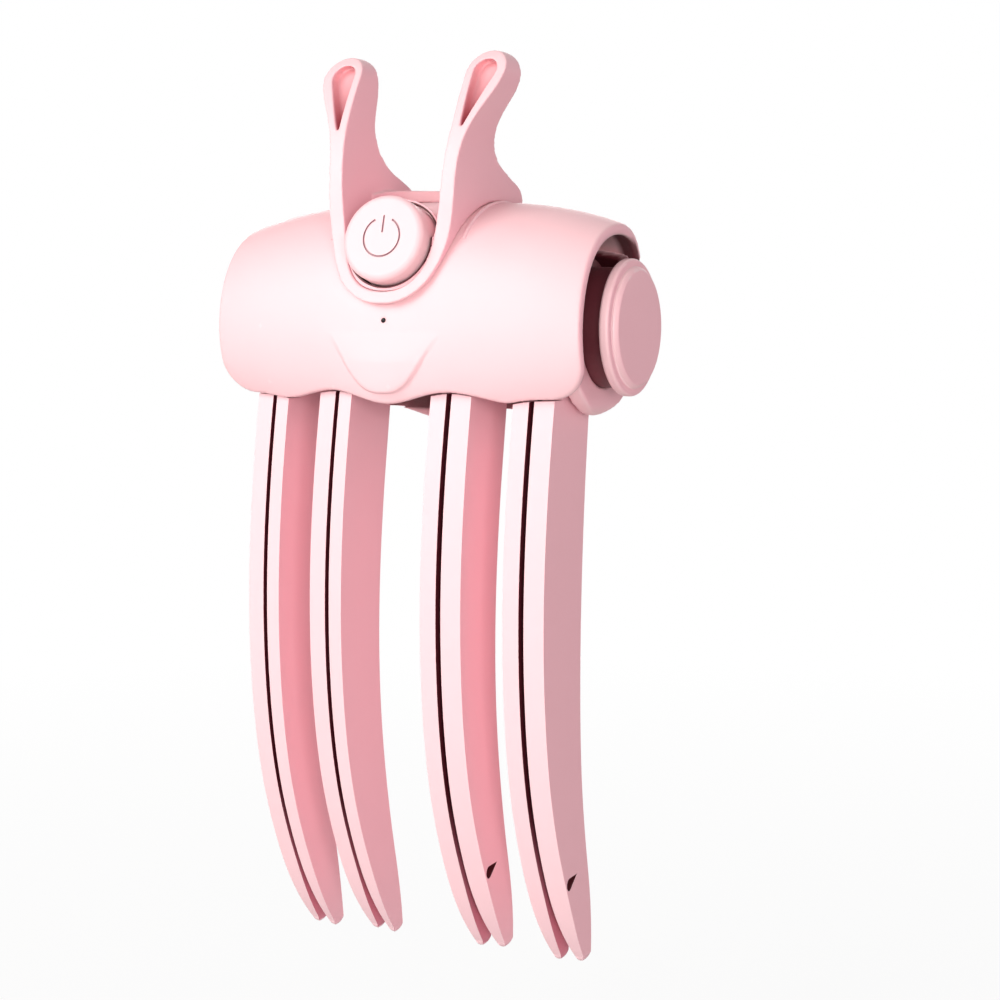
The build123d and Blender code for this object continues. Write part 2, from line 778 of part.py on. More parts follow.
def back_region():
    """What the back cover keeps: behind the blades, and round the front at both ends."""
    hem = hem_region(back_hem_drop, back_half_length, REACH)
    rear = wedge(back_top_angle, 180, back_half_length) & Pos(0, back_blade_edge + REACH, 0) * Box(
        2 * REACH, 2 * REACH, 2 * REACH)
    end = Pos((back_end_inner + back_half_length) / 2, -REACH / 2 + back_blade_edge, back_end_top - REACH / 2) * Box(
        back_half_length - back_end_inner, REACH, REACH)
    return (rear + both_sides(end)) & hem


def lever():
    """Thumb lever behind the back cover, with grip ribs across it."""
    path = Spline(*lever_points)
    plate = Pos(-lever_half_width, 0, 0) * extrude(
        Plane.YZ * trace(path, lever_thickness), 2 * lever_half_width, dir=(1, 0, 0))
    plate = fillet(plate.edges().filter_by(lambda edge: edge.center().Z > 0 and edge.length > 1), lever_round)
    for height in rib_heights:
        share = min((step / 200 for step in range(201)), key=lambda t: abs((path @ t).Y - height))
        spot = path @ share
        place = Plane(origin=(-lever_half_width + rib_margin, spot.X + lever_thickness / 2, spot.Y), z_dir=(1, 0, 0))
        plate += extrude(place * Circle(rib_radius), 2 * (lever_half_width - rib_margin))
    return plate


def back_cover():
    """Lower rear shell with its end webs, screw bosses and thumb lever."""
    outer, inner = back_body(0, 0), back_body(back_wall, 1)
    region = back_region()
    web = Pos(back_half_length - web_thickness / 2, 0, 0) * Box(web_thickness, REACH, REACH)
    cover = (outer - inner) & region
    cover += both_sides((outer & web) & region)
    cover += lever() - outer
    cover += bosses(back_screw_angle, lambda x: back_screw_head(x) - screw_head)
    cover -= tube_x(barrel_radius + seat_gap, 0, -REACH, REACH)
    cover -= head_access(cover_screw_x, back_screw_angle, back_screw_head, REACH / 2)
    return cover - back_cover_screws(screw_gap)


def battery_barrel():
    """Tube that holds the cell and carries all eight knuckles."""
    return tube_x(barrel_radius, barrel_inner, -barrel_half_length, barrel_half_length)


def battery_cell():
    """Standard cylindrical cell, nearer the right cap to leave room for the charging board."""
    start = cell_offset - cell_length / 2
    return fillet(tube_x(cell_radius, 0, start, start + cell_length).edges().filter_by(GeomType.CIRCLE), cell_edge)


def cone_x(near_radius, far_radius, near, far):
    """Cone frustum about the barrel's axis between two places along it."""
    sections = [Plane(origin=(x, 0, 0), x_dir=(0, 1, 0), z_dir=(1, 0, 0)) * Circle(radius)
                for x, radius in sorted(((near, near_radius), (far, far_radius)))]
    return loft(sections)


def contact(base, tip):
    """Pressed contact plate with a sprung dome that meets the cell."""
    way = 1 if tip > base else -1
    plate_end = base + way * contact_thickness
    plate = tube_x(contact_radius, 0, min(base, plate_end), max(base, plate_end))
    dome = cone_x(contact_dome_radius, contact_tip_radius, base, tip)
    hollow = cone_x(contact_dome_radius - contact_thickness, contact_tip_radius - contact_thickness,
                    base, tip - way * contact_thickness)
    return plate + dome - hollow


def end_cap():
    """Right end cap: flange with a raised bevelled disc and a spigot in the barrel."""
    flange = tube_x(cap_radius, 0, barrel_half_length, cap_flange_x)
    flange = fillet(flange.edges().filter_by(GeomType.CIRCLE), cap_round)
    disc = tube_x(cap_disc_radius, 0, cap_flange_x - cap_round, cap_outer_x)
    outer_edge = disc.edges().filter_by(GeomType.CIRCLE).sort_by(Axis.X)[-1]
    spigot = tube_x(barrel_inner - seat_gap, 0, barrel_half_length - cap_spigot, barrel_half_length + cap_round)
    return flange + chamfer(outer_edge, cap_bevel) + spigot


def socket_slot(grow, from_x, to_x):
    """Rounded slot of the charging socket's outline, grown outwards."""
    place = Plane(origin=(from_x, 0, 0), x_dir=(0, 1, 0), z_dir=(1, 0, 0))
    return extrude(place * SlotOverall(socket_width + 2 * grow, socket_height + 2 * grow), to_x - from_x)


def usb_c_socket():
    """Charging socket: metal shell, back wall and tongue."""
    start, end = -cap_outer_x, -cap_outer_x + socket_length
    shell = socket_slot(0, start, end) - socket_slot(-socket_wall, start, end - socket_back)
    tongue = Pos((start + tongue_set_back + end) / 2, 0, 0) * Box(
        socket_length - tongue_set_back, tongue_width, tongue_thickness)
    return shell + tongue


def charge_board():
    """Round board behind the charging socket."""
    return tube_x(barrel_inner - board_gap, 0, board_x, board_x + board_thickness)


def tangent_arcs(start, start_way, end, end_way):
    """Two arcs that leave one point and reach another along given directions."""
    span, ways = end - start, start_way + end_way
    spread = 2 * (1 - start_way.dot(end_way))
    reach = (-span.dot(ways) + math.sqrt(span.dot(ways) ** 2 + spread * span.dot(span))) / spread
    middle = (start + end + (start_way - end_way) * reach) * 0.5
    first = TangentArc(start, middle, tangent=start_way)
    return [first, TangentArc(middle, end, tangent=first % 1)]


def torsion_spring():
    """Right-hand spring: turns round the barrel with a straight leg at each end."""
    radius = barrel_radius + spring_gap + spring_wire / 2
    middle = (blade_x(False, False)[1] + pair_outer_x) / 2
    start_x = middle - spring_pitch * spring_turns / 2
    rise = spring_pitch / (2 * math.pi)

    def point(turn):
        return Vector(start_x + rise * turn, *polar(radius, math.degrees(turn) + front_carrier_high_angle))

    def way(turn):
        return Vector(rise, *polar(radius, math.degrees(turn) + front_carrier_high_angle + 90)).normalized()

    steps = [math.pi / 2 * step for step in range(4 * spring_turns + 1)]
    edges = [Line(point(0) - way(0) * spring_leg, point(0))]
    for near, far in zip(steps, steps[1:]):
        edges += tangent_arcs(point(near), way(near), point(far), way(far))
    edges.append(Line(point(steps[-1]), point(steps[-1]) + way(steps[-1]) * spring_leg))
    apart = [[edge @ share for share in (0, 0.25, 0.5, 0.75)] for edge in edges]
    spots = [spot for group in apart for spot in group]
    turn_spots = 2 * len(spots) // (2 * spring_turns + 1)
    least = min((a - b).length for place, a in enumerate(spots) for b in spots[place + turn_spots // 2:])
    print("torsion spring: least gap to itself", round(least - spring_wire, 2), "mm")
    place = Plane(origin=edges[0] @ 0, z_dir=edges[0] % 0)
    return sweep(place * Circle(spring_wire / 2), path=Wire(edges))


def save(name, shape):
    """Write one piece to its own file."""
    export_step(shape, "parts/" + name + ".step")


os.makedirs("parts", exist_ok=True)

save("battery_barrel", battery_barrel())
save("battery_cell", battery_cell())
cell_left = cell_offset - cell_length / 2
save("contact_left", contact(board_x + board_thickness, cell_left))
save("contact_right", contact(barrel_half_length - cap_spigot, cell_left + cell_length))
save("end_cap_right", end_cap())
save("end_cap_left", mirror(end_cap(), Plane.YZ) - socket_slot(socket_gap, -REACH, 0))
save("charge_board", charge_board())
save("usb_c_socket", usb_c_socket())

clear = clear_body()
hem = hem_region(hem_clearance, cover_half_length + cover_wall, 0)
for front_jaw, jaw in ((True, "front"), (False, "back")):
    for outer_pair, left, right in ((False, "2", "3"), (True, "1", "4")):
        one = blade(front_jaw, outer_pair, clear, hem)
        plate = heater(front_jaw, outer_pair)
        save("blade_" + jaw + "_" + right, one)
        save("blade_" + jaw + "_" + left, mirror(one, Plane.YZ))
        save("heater_" + jaw + "_" + right, plate)
        save("heater_" + jaw + "_" + left, mirror(plate, Plane.YZ))
    save("blade_screws_" + jaw, blade_screws(front_jaw))

save("front_carrier", front_carrier())
save("back_carrier", back_carrier())
save("cover_screws_front", front_cover_screws())
save("cover_screws_back", back_cover_screws())
save("front_cover", front_cover())
save("ear_frame", ear_frame())
save("power_button", power_button())
save("switch_plunger", switch_plunger())
save("button_bezel", button_bezel())
save("tact_switch", tact_switch())
save("control_board", control_board())
save("board_screws", board_screws())
save("light_pipe", light_pipe())
save("back_cover", back_cover())
spring = torsion_spring()
save("torsion_spring_right", spring)
save("torsion_spring_left", mirror(spring, Plane.YZ))
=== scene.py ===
import math

import bmesh
import bpy
from mathutils import Matrix, Vector


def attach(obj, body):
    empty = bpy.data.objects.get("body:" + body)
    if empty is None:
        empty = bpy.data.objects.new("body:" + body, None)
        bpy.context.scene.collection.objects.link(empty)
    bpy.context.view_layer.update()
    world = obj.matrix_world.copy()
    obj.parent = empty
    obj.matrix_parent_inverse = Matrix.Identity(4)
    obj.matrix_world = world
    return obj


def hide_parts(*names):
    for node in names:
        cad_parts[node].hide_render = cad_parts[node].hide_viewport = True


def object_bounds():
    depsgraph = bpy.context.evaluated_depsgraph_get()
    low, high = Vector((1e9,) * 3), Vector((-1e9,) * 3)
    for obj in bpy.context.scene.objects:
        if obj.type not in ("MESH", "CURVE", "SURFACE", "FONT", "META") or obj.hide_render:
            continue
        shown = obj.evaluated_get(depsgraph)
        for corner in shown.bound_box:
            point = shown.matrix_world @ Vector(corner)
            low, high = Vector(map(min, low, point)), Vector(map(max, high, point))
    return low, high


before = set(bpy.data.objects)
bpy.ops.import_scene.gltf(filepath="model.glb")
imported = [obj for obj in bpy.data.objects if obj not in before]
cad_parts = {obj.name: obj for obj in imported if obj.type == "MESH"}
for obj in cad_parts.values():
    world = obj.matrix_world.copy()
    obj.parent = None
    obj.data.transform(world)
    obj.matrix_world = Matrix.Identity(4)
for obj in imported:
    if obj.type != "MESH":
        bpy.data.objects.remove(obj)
cad_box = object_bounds()
MM = 0.001

# The photograph is taken from the front right, level with the clip's upper half, through a long lens.
# The clip hangs free in it, so nothing of the object touches the floor.
bpy.context.scene.view_settings.view_transform = "Standard"
camera_data = bpy.data.cameras.new("photo_camera")
camera_data.lens = 75.6
camera_data.sensor_width = 36.0
camera_data.clip_start = 0.01
camera = bpy.data.objects.new("photo_camera", camera_data)
bpy.context.scene.collection.objects.link(camera)
camera_place = (0.17794, -0.34079, 0.00774)
looking = Vector((-0.43413, 0.89497, -0.10276)).normalized()
rightward = Vector((0.89973, 0.43644, 0.0)).normalized()
turned = Matrix((rightward, rightward.cross(looking), -looking)).transposed().to_4x4()
camera.matrix_world = Matrix.Translation(camera_place) @ turned
bpy.context.scene.camera = camera


# A wide matt white sheet lies under the clip and runs on past the view, as on a photographer's table.
# Seen by the camera it fades to plain white away from the clip, so that no horizon shows.
floor_drop = 30 * MM
floor_reach = 3.0
fade_start, fade_end = 0.12, 0.5
shade_under = 0.91
floor_white = 0.7


def add_node(tree, kind, inputs=None, **settings):
    """A node with its properties and its unlinked inputs set by name or number."""
    node = tree.nodes.new(kind)
    for name, value in settings.items():
        setattr(node, name, value)
    for name, value in (inputs or {}).items():
        node.inputs[name].default_value = value
    return node


def link_all(tree, *pairs):
    """Link the output of each pair to its input."""
    for source, target in pairs:
        tree.links.new(source, target)


def add_mesh_object(name, points, faces, edges=()):
    """A mesh object in the scene at the origin."""
    mesh = bpy.data.meshes.new(name)
    mesh.from_pydata(points, edges, faces)
    made = bpy.data.objects.new(name, mesh)
    bpy.context.scene.collection.objects.link(made)
    return made


floor_z = cad_box[0][2] - floor_drop
corners = [(floor_reach * x, floor_reach * y, floor_z) for x, y in ((-1, -1), (1, -1), (1, 1), (-1, 1))]
floor = add_mesh_object("table_sheet", corners, [(0, 1, 2, 3)])
sheet_paper = bpy.data.materials.new("sheet_paper")
sheet_paper.use_nodes = True
tree = sheet_paper.node_tree
tree.nodes.clear()
here = add_node(tree, "ShaderNodeTexCoord").outputs["Object"]
away = add_node(tree, "ShaderNodeVectorMath", operation="LENGTH")
fade = add_node(tree, "ShaderNodeMapRange",
                {"From Min": fade_start, "From Max": fade_end, "To Min": shade_under, "To Max": 1.0})
path = add_node(tree, "ShaderNodeLightPath")
seen = add_node(tree, "ShaderNodeMath", operation="MULTIPLY")
matt = add_node(tree, "ShaderNodeBsdfDiffuse", {"Color": (floor_white, floor_white, floor_white, 1)})
glow = add_node(tree, "ShaderNodeEmission", {"Color": (1, 1, 1, 1), "Strength": 1.0})
mix = add_node(tree, "ShaderNodeMixShader")
out = add_node(tree, "ShaderNodeOutputMaterial")
link_all(tree, (here, away.inputs[0]), (away.outputs["Value"], fade.inputs["Value"]),
         (fade.outputs["Result"], seen.inputs[0]), (path.outputs["Is Camera Ray"], seen.inputs[1]),
         (seen.outputs["Value"], mix.inputs[0]), (matt.outputs[0], mix.inputs[1]),
         (glow.outputs[0], mix.inputs[2]), (mix.outputs[0], out.inputs["Surface"]))
floor.data.materials.append(sheet_paper)


# Plain studio light: large softboxes at the front left, at the right of the camera and low behind the clip.
# The room's own light is dim, while the camera and polished surfaces see a white room.
room_light = 0.33
world = bpy.data.worlds.new("studio")
bpy.context.scene.world = world
world.use_nodes = True
tree = world.node_tree
tree.nodes.clear()
lit = add_node(tree, "ShaderNodeBackground", {"Color": (1.0, 0.93, 0.94, 1), "Strength": room_light})
plain = add_node(tree, "ShaderNodeBackground", {"Color": (1, 1, 1, 1), "Strength": 1.0})
path = add_node(tree, "ShaderNodeLightPath")
direct = add_node(tree, "ShaderNodeMath", operation="MAXIMUM")
clear = add_node(tree, "ShaderNodeMath", operation="MAXIMUM")
mix = add_node(tree, "ShaderNodeMixShader")
out = add_node(tree, "ShaderNodeOutputWorld")
link_all(tree, (path.outputs["Is Camera Ray"], direct.inputs[0]),
         (path.outputs["Is Glossy Ray"], direct.inputs[1]), (direct.outputs[0], clear.inputs[0]),
         (path.outputs["Is Transmission Ray"], clear.inputs[1]), (clear.outputs[0], mix.inputs[0]),
         (lit.outputs[0], mix.inputs[1]), (plain.outputs[0], mix.inputs[2]),
         (mix.outputs[0], out.inputs["Surface"]))
lamp_target = Vector((0, 0, -30 * MM))
for name, place, size, watts, glow in (("front_softbox", (-0.38, -0.74, 0.38), 0.6, 6.7, (1.0, 1.0, 0.96)),
                                       ("right_softbox", (0.52, -0.76, 0.0), 0.5, 5.7, (1.0, 0.985, 0.97)),
                                       ("rear_softbox", (-0.35, 0.82, 0.02), 0.6, 5.2, (1.0, 0.99, 0.97))):
    lamp_data = bpy.data.lights.new(name, "AREA")
    lamp_data.color = glow
    lamp_data.size = size
    lamp_data.energy = watts
    lamp = bpy.data.objects.new(name, lamp_data)
    bpy.context.scene.collection.objects.link(lamp)
    lamp.location = place
    lamp.rotation_euler = (lamp_target - Vector(place)).to_track_quat("-Z", "Y").to_euler()


# The lithium cell is a steel can in a shrunk blue sleeve. It slides into the barrel before the caps go on.
# All moulded or shrunk plastic of the clip shares the group that gives it patches and grain and, where
# asked, a deeper pink painted as shade on the faces that turn to the left or right.
coat_roughness = 0.12
# How far the sideways faces take on the colour of painted shade.
side_shade_share = 0.85


def make_group(name, kind, inputs, outputs):
    """A node group with named inputs and outputs, and the inner ends of both."""
    tree = bpy.data.node_groups.new(name, kind)
    for socket, (sort, value) in inputs.items():
        made = tree.interface.new_socket(name=socket, in_out="INPUT", socket_type="NodeSocket" + sort)
        if value is not None:
            made.default_value = value
    for socket, sort in outputs.items():
        tree.interface.new_socket(name=socket, in_out="OUTPUT", socket_type="NodeSocket" + sort)
    return tree, add_node(tree, "NodeGroupInput").outputs, add_node(tree, "NodeGroupOutput").inputs


skin_and_side_shade, taken, given = make_group("skin_and_side_shade", "ShaderNodeTree", {
    "Colour": ("Color", (0.8, 0.5, 0.55, 1)), "Deep Colour": ("Color", (0.7, 0.4, 0.45, 1)),
    "Side Shade Colour": ("Color", (0.7, 0.4, 0.45, 1)), "Side Shade Share": ("Float", 0.0),
    "Patch Scale": ("Float", 60.0), "Grain Scale": ("Float", 2500.0),
    "Smooth Roughness": ("Float", 0.4), "Rough Roughness": ("Float", 0.5)},
    {"Colour": "Color", "Roughness": "Float", "Height": "Float"})
here = add_node(skin_and_side_shade, "ShaderNodeTexCoord").outputs["Object"]
patches = add_node(skin_and_side_shade, "ShaderNodeTexNoise", {"Detail": 3.0, "Roughness": 0.55})
grain = add_node(skin_and_side_shade, "ShaderNodeTexNoise", {"Detail": 4.0, "Roughness": 0.6})
pits = add_node(skin_and_side_shade, "ShaderNodeTexVoronoi", {"Randomness": 1.0}, feature="SMOOTH_F1")
tint = add_node(skin_and_side_shade, "ShaderNodeMix", data_type="RGBA")
facing = add_node(skin_and_side_shade, "ShaderNodeNewGeometry")
aim = add_node(skin_and_side_shade, "ShaderNodeSeparateXYZ")
sideways = add_node(skin_and_side_shade, "ShaderNodeMath", operation="ABSOLUTE")
side_shade_mask = add_node(skin_and_side_shade, "ShaderNodeMapRange", {"From Min": 0.6, "From Max": 0.95})
side_shade_tint = add_node(skin_and_side_shade, "ShaderNodeMix", data_type="RGBA")
rough = add_node(skin_and_side_shade, "ShaderNodeMapRange", {"From Min": 0.3, "From Max": 0.7})
shallow = add_node(skin_and_side_shade, "ShaderNodeMath", {1: 0.35}, operation="MULTIPLY")
height = add_node(skin_and_side_shade, "ShaderNodeMath", operation="ADD")
link_all(skin_and_side_shade, (here, patches.inputs["Vector"]), (here, grain.inputs["Vector"]),
         (here, pits.inputs["Vector"]), (taken["Patch Scale"], patches.inputs["Scale"]),
         (taken["Grain Scale"], grain.inputs["Scale"]), (taken["Grain Scale"], pits.inputs["Scale"]),
         (patches.outputs["Fac"], tint.inputs["Factor"]), (taken["Colour"], tint.inputs["A"]),
         (taken["Deep Colour"], tint.inputs["B"]), (facing.outputs["Normal"], aim.inputs[0]),
         (aim.outputs["X"], sideways.inputs[0]), (sideways.outputs[0], side_shade_mask.inputs["Value"]),
         (taken["Side Shade Share"], side_shade_mask.inputs["To Max"]),
         (side_shade_mask.outputs["Result"], side_shade_tint.inputs["Factor"]),
         (tint.outputs["Result"], side_shade_tint.inputs["A"]), (taken["Side Shade Colour"], side_shade_tint.inputs["B"]),
         (side_shade_tint.outputs["Result"], given["Colour"]), (grain.outputs["Fac"], rough.inputs["Value"]),
         (taken["Smooth Roughness"], rough.inputs["To Min"]),
         (taken["Rough Roughness"], rough.inputs["To Max"]), (rough.outputs["Result"], given["Roughness"]),
         (pits.outputs["Distance"], shallow.inputs[0]), (grain.outputs["Fac"], height.inputs[0]),
         (shallow.outputs[0], height.inputs[1]), (height.outputs[0], given["Height"]))


def group_material(name, group, values, strength, depth):
    """A material whose colour, roughness and relief come from a shared group, and its shader."""
    made = bpy.data.materials.new(name)
    made.use_nodes = True
    tree = made.node_tree
    shader = tree.nodes["Principled BSDF"]
    source = add_node(tree, "ShaderNodeGroup", values, node_tree=group)
    relief = add_node(tree, "ShaderNodeBump", {"Strength": strength, "Distance": depth})
    link_all(tree, (source.outputs["Colour"], shader.inputs["Base Color"]),
             (source.outputs["Roughness"], shader.inputs["Roughness"]),
             (source.outputs["Height"], relief.inputs["Height"]),
             (relief.outputs["Normal"], shader.inputs["Normal"]))
    return made, shader


def skin_material(name, colour, deep, patch_scale, grain_scale, gloss, bump,
                  specular=0.5, coat=0.0, side=None):
    """A plastic with patches of colour, a fine moulded grain and, if given, a deeper tone painted as shade
    on its faces that turn to the left or right.
    """
    values = {"Colour": (*colour, 1), "Deep Colour": (*deep, 1), "Patch Scale": patch_scale,
              "Grain Scale": grain_scale, "Smooth Roughness": gloss[0], "Rough Roughness": gloss[1]}
    if side:
        values.update({"Side Shade Colour": (*side, 1), "Side Shade Share": side_shade_share})
    made, shader = group_material(name, skin_and_side_shade, values, 1.0, bump)
    shader.inputs["Specular IOR Level"].default_value = specular
    shader.inputs["Coat Weight"].default_value = coat
    shader.inputs["Coat Roughness"].default_value = coat_roughness
    return made


def give_finish(piece, material):
    """Make a material the only finish of a piece."""
    piece.data.materials.clear()
    piece.data.materials.append(material)


def finish_cad_node(name, material):
    """Give a CAD piece whose shape is right its finish."""
    give_finish(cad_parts[name], material)


cell_wrap = skin_material("cell_wrap", colour=(0.10, 0.24, 0.42), deep=(0.08, 0.20, 0.36), patch_scale=90,
                          grain_scale=900, gloss=(0.22, 0.34), bump=0.01 * MM, coat=0.2)
finish_cad_node("battery_cell", cell_wrap)


# The barrel is a tube of plastic left with the satin of its mould, painted a dark red that stands in for
# its shade.
# It holds the cell, carries all eight knuckles, and shows, in shade, between the cover's end and the cap.
barrel_plastic = skin_material("barrel_plastic", colour=(0.13, 0.02, 0.028), deep=(0.10, 0.016, 0.024),
                               patch_scale=70, grain_scale=1800, gloss=(0.42, 0.55), bump=0.01 * MM)
finish_cad_node("battery_barrel", barrel_plastic)


# Contacts are pressed from thin nickel-plated strip, and the charging socket is folded from steel.
# All metal of the clip shares the group that draws its fine streaks.
metal_relief, streak_depth = 0.6, 0.005 * MM
drawn_metal, taken, given = make_group("drawn_metal", "ShaderNodeTree", {
    "Colour": ("Color", (0.7, 0.7, 0.7, 1)), "Dark Colour": ("Color", (0.5, 0.5, 0.5, 1)),
    "Streak Stretch": ("Vector", (1.0, 1.0, 1.0)), "Streak Scale": ("Float", 1500.0),
    "Smooth Roughness": ("Float", 0.25), "Rough Roughness": ("Float", 0.4)},
    {"Colour": "Color", "Roughness": "Float", "Height": "Float"})
here = add_node(drawn_metal, "ShaderNodeTexCoord").outputs["Object"]
stretch = add_node(drawn_metal, "ShaderNodeVectorMath", operation="MULTIPLY")
streaks = add_node(drawn_metal, "ShaderNodeTexNoise", {"Detail": 5.0, "Roughness": 0.65})
tarnish = add_node(drawn_metal, "ShaderNodeTexNoise", {"Scale": 350.0, "Detail": 2.0})
tint = add_node(drawn_metal, "ShaderNodeMix", data_type="RGBA")
rough = add_node(drawn_metal, "ShaderNodeMapRange", {"From Min": 0.35, "From Max": 0.65})
link_all(drawn_metal, (here, stretch.inputs[0]), (taken["Streak Stretch"], stretch.inputs[1]),
         (stretch.outputs["Vector"], streaks.inputs["Vector"]),
         (taken["Streak Scale"], streaks.inputs["Scale"]), (here, tarnish.inputs["Vector"]),
         (tarnish.outputs["Fac"], tint.inputs["Factor"]), (taken["Colour"], tint.inputs["A"]),
         (taken["Dark Colour"], tint.inputs["B"]), (tint.outputs["Result"], given["Colour"]),
         (streaks.outputs["Fac"], rough.inputs["Value"]),
         (taken["Smooth Roughness"], rough.inputs["To Min"]),
         (taken["Rough Roughness"], rough.inputs["To Max"]), (rough.outputs["Result"], given["Roughness"]),
         (streaks.outputs["Fac"], given["Height"]))


def metal_material(name, colour, dark, stretch_by, streak_scale, gloss):
    """A bare metal with fine streaks along the way it was drawn, pressed or turned."""
    made, shader = group_material(name, drawn_metal, {
        "Colour": (*colour, 1), "Dark Colour": (*dark, 1), "Streak Stretch": stretch_by,
        "Streak Scale": streak_scale, "Smooth Roughness": gloss[0], "Rough Roughness": gloss[1]},
        metal_relief, streak_depth)
    shader.inputs["Metallic"].default_value = 1.0
    return made


nickel_contact = metal_material("nickel_contact", colour=(0.72, 0.70, 0.64), dark=(0.58, 0.56, 0.50),
                                stretch_by=(1, 1, 0.08), streak_scale=2200, gloss=(0.22, 0.38))
socket_steel = metal_material("socket_steel", colour=(0.66, 0.66, 0.69), dark=(0.52, 0.52, 0.55),
                              stretch_by=(0.08, 1, 1), streak_scale=2600, gloss=(0.25, 0.42))
finish_cad_node("contact_left", nickel_contact)
finish_cad_node("contact_right", nickel_contact)
finish_cad_node("usb_c_socket", socket_steel)


# Both boards are glass-fibre sheet under a green lacquer: the round one carries the charging socket,
# the other is screwed behind the button. The woven glass shows through the lacquer as a fine mesh.
circuit_board = bpy.data.materials.new("circuit_board")
circuit_board.use_nodes = True
tree = circuit_board.node_tree
shader = tree.nodes["Principled BSDF"]
shader.inputs["Coat Weight"].default_value = 0.4
here = add_node(tree, "ShaderNodeTexCoord").outputs["Object"]
weave = {"Scale": 900.0, "Distortion": 0.6}
warp = add_node(tree, "ShaderNodeTexWave", weave, bands_direction="Y")
weft = add_node(tree, "ShaderNodeTexWave", weave, bands_direction="Z")
woven = add_node(tree, "ShaderNodeMath", operation="MULTIPLY")
lacquer = add_node(tree, "ShaderNodeMix", {"A": (0.008, 0.075, 0.035, 1), "B": (0.02, 0.13, 0.06, 1)},
                   data_type="RGBA")
rough = add_node(tree, "ShaderNodeMapRange", {"To Min": 0.3, "To Max": 0.45})
relief = add_node(tree, "ShaderNodeBump", {"Strength": 0.5, "Distance": 0.02 * MM})
link_all(tree, (here, warp.inputs["Vector"]), (here, weft.inputs["Vector"]),
         (warp.outputs["Fac"], woven.inputs[0]), (weft.outputs["Fac"], woven.inputs[1]),
         (woven.outputs[0], lacquer.inputs["Factor"]), (woven.outputs[0], rough.inputs["Value"]),
         (woven.outputs[0], relief.inputs["Height"]),
         (lacquer.outputs["Result"], shader.inputs["Base Color"]),
         (rough.outputs["Result"], shader.inputs["Roughness"]),
         (relief.outputs["Normal"], shader.inputs["Normal"]))
finish_cad_node("charge_board", circuit_board)
finish_cad_node("control_board", circuit_board)


# The two torsion springs are wound from drawn steel wire round the barrel, one on each side.
# Each has four close turns and a straight leg at either end, and pushes the jaws together.
spring_steel = metal_material("spring_steel", colour=(0.55, 0.55, 0.57), dark=(0.42, 0.42, 0.44),
                              stretch_by=(1, 0.1, 0.1), streak_scale=1800, gloss=(0.2, 0.34))


def form_tree(name, sizes):
    """A Geometry Nodes tree with named size inputs, and the inner ends of its inputs and output."""
    inputs = {"Geometry": ("Geometry", None), **sizes, "Finish": ("Material", None)}
    return make_group(name, "GeometryNodeTree", inputs, {"Geometry": "Geometry"})


def sum_of(tree, operation, first, second=None, third=None):
    """A math node's result from linked sockets or plain numbers."""
    node = add_node(tree, "ShaderNodeMath", operation=operation)
    for place, value in enumerate(part for part in (first, second, third) if part is not None):
        if isinstance(value, (int, float)):
            node.inputs[place].default_value = value
        else:
            tree.links.new(value, node.inputs[place])
    return node.outputs[0]


def close_tree(tree, taken, given, shape):
    """End a tree in realized, smooth geometry that carries its finish."""
    real = add_node(tree, "GeometryNodeRealizeInstances")
    smooth = add_node(tree, "GeometryNodeSetShadeSmooth")
    finish = add_node(tree, "GeometryNodeSetMaterial")
    link_all(tree, (shape, real.inputs["Geometry"]), (real.outputs["Geometry"], smooth.inputs["Geometry"]),
             (smooth.outputs["Geometry"], finish.inputs["Geometry"]),
             (taken["Finish"], finish.inputs["Material"]), (finish.outputs["Geometry"], given["Geometry"]))


def grow_form(guide, tree, sizes, material):
    """Turn a guide object into the plain mesh that the tree makes of it."""
    modifier = guide.modifiers.new(tree.name, "NODES")
    modifier.node_group = tree
    for item in tree.interface.items_tree:
        if item.in_out == "INPUT" and item.name in sizes:
            modifier[item.identifier] = sizes[item.name]
        if item.in_out == "INPUT" and item.name == "Finish":
            modifier[item.identifier] = material
    return bake_form(guide)


def bake_form(piece):
    """Replace a piece's mesh by the result of its modifiers, and remove these."""
    depsgraph = bpy.context.evaluated_depsgraph_get()
    mesh = bpy.data.meshes.new_from_object(piece.evaluated_get(depsgraph))
    piece.modifiers.clear()
    piece.data = mesh
    return piece


coil_tree, taken, given = form_tree("spring_coil", {
    "Wire Radius": ("Float", 0.0004), "Coil Radius": ("Float", 0.01145), "Turns": ("Float", 4.0),
    "Pitch": ("Float", 0.0013), "Leg": ("Float", 0.0026), "Start Angle": ("Float", 0.0),
    "Start": ("Float", 0.0), "Side": ("Float", 1.0), "Steps": ("Int", 200)})
whole = sum_of(coil_tree, "MULTIPLY", taken["Turns"], 2 * math.pi)
leg_turn = sum_of(coil_tree, "DIVIDE", taken["Leg"], taken["Coil Radius"])
index = add_node(coil_tree, "GeometryNodeInputIndex").outputs[0]
share = sum_of(coil_tree, "DIVIDE", index, sum_of(coil_tree, "SUBTRACT", taken["Steps"], 1))
span = sum_of(coil_tree, "ADD", whole, sum_of(coil_tree, "MULTIPLY", leg_turn, 2))
turn = sum_of(coil_tree, "SUBTRACT", sum_of(coil_tree, "MULTIPLY", share, span), leg_turn)
on_coil = sum_of(coil_tree, "MINIMUM", sum_of(coil_tree, "MAXIMUM", turn, 0), whole)
past = sum_of(coil_tree, "MULTIPLY", sum_of(coil_tree, "SUBTRACT", turn, on_coil),
              taken["Coil Radius"])
angle = sum_of(coil_tree, "ADD", on_coil, taken["Start Angle"])
sine, cosine = sum_of(coil_tree, "SINE", angle), sum_of(coil_tree, "COSINE", angle)
along = sum_of(coil_tree, "MULTIPLY", sum_of(coil_tree, "DIVIDE", turn, 2 * math.pi),
               taken["Pitch"])
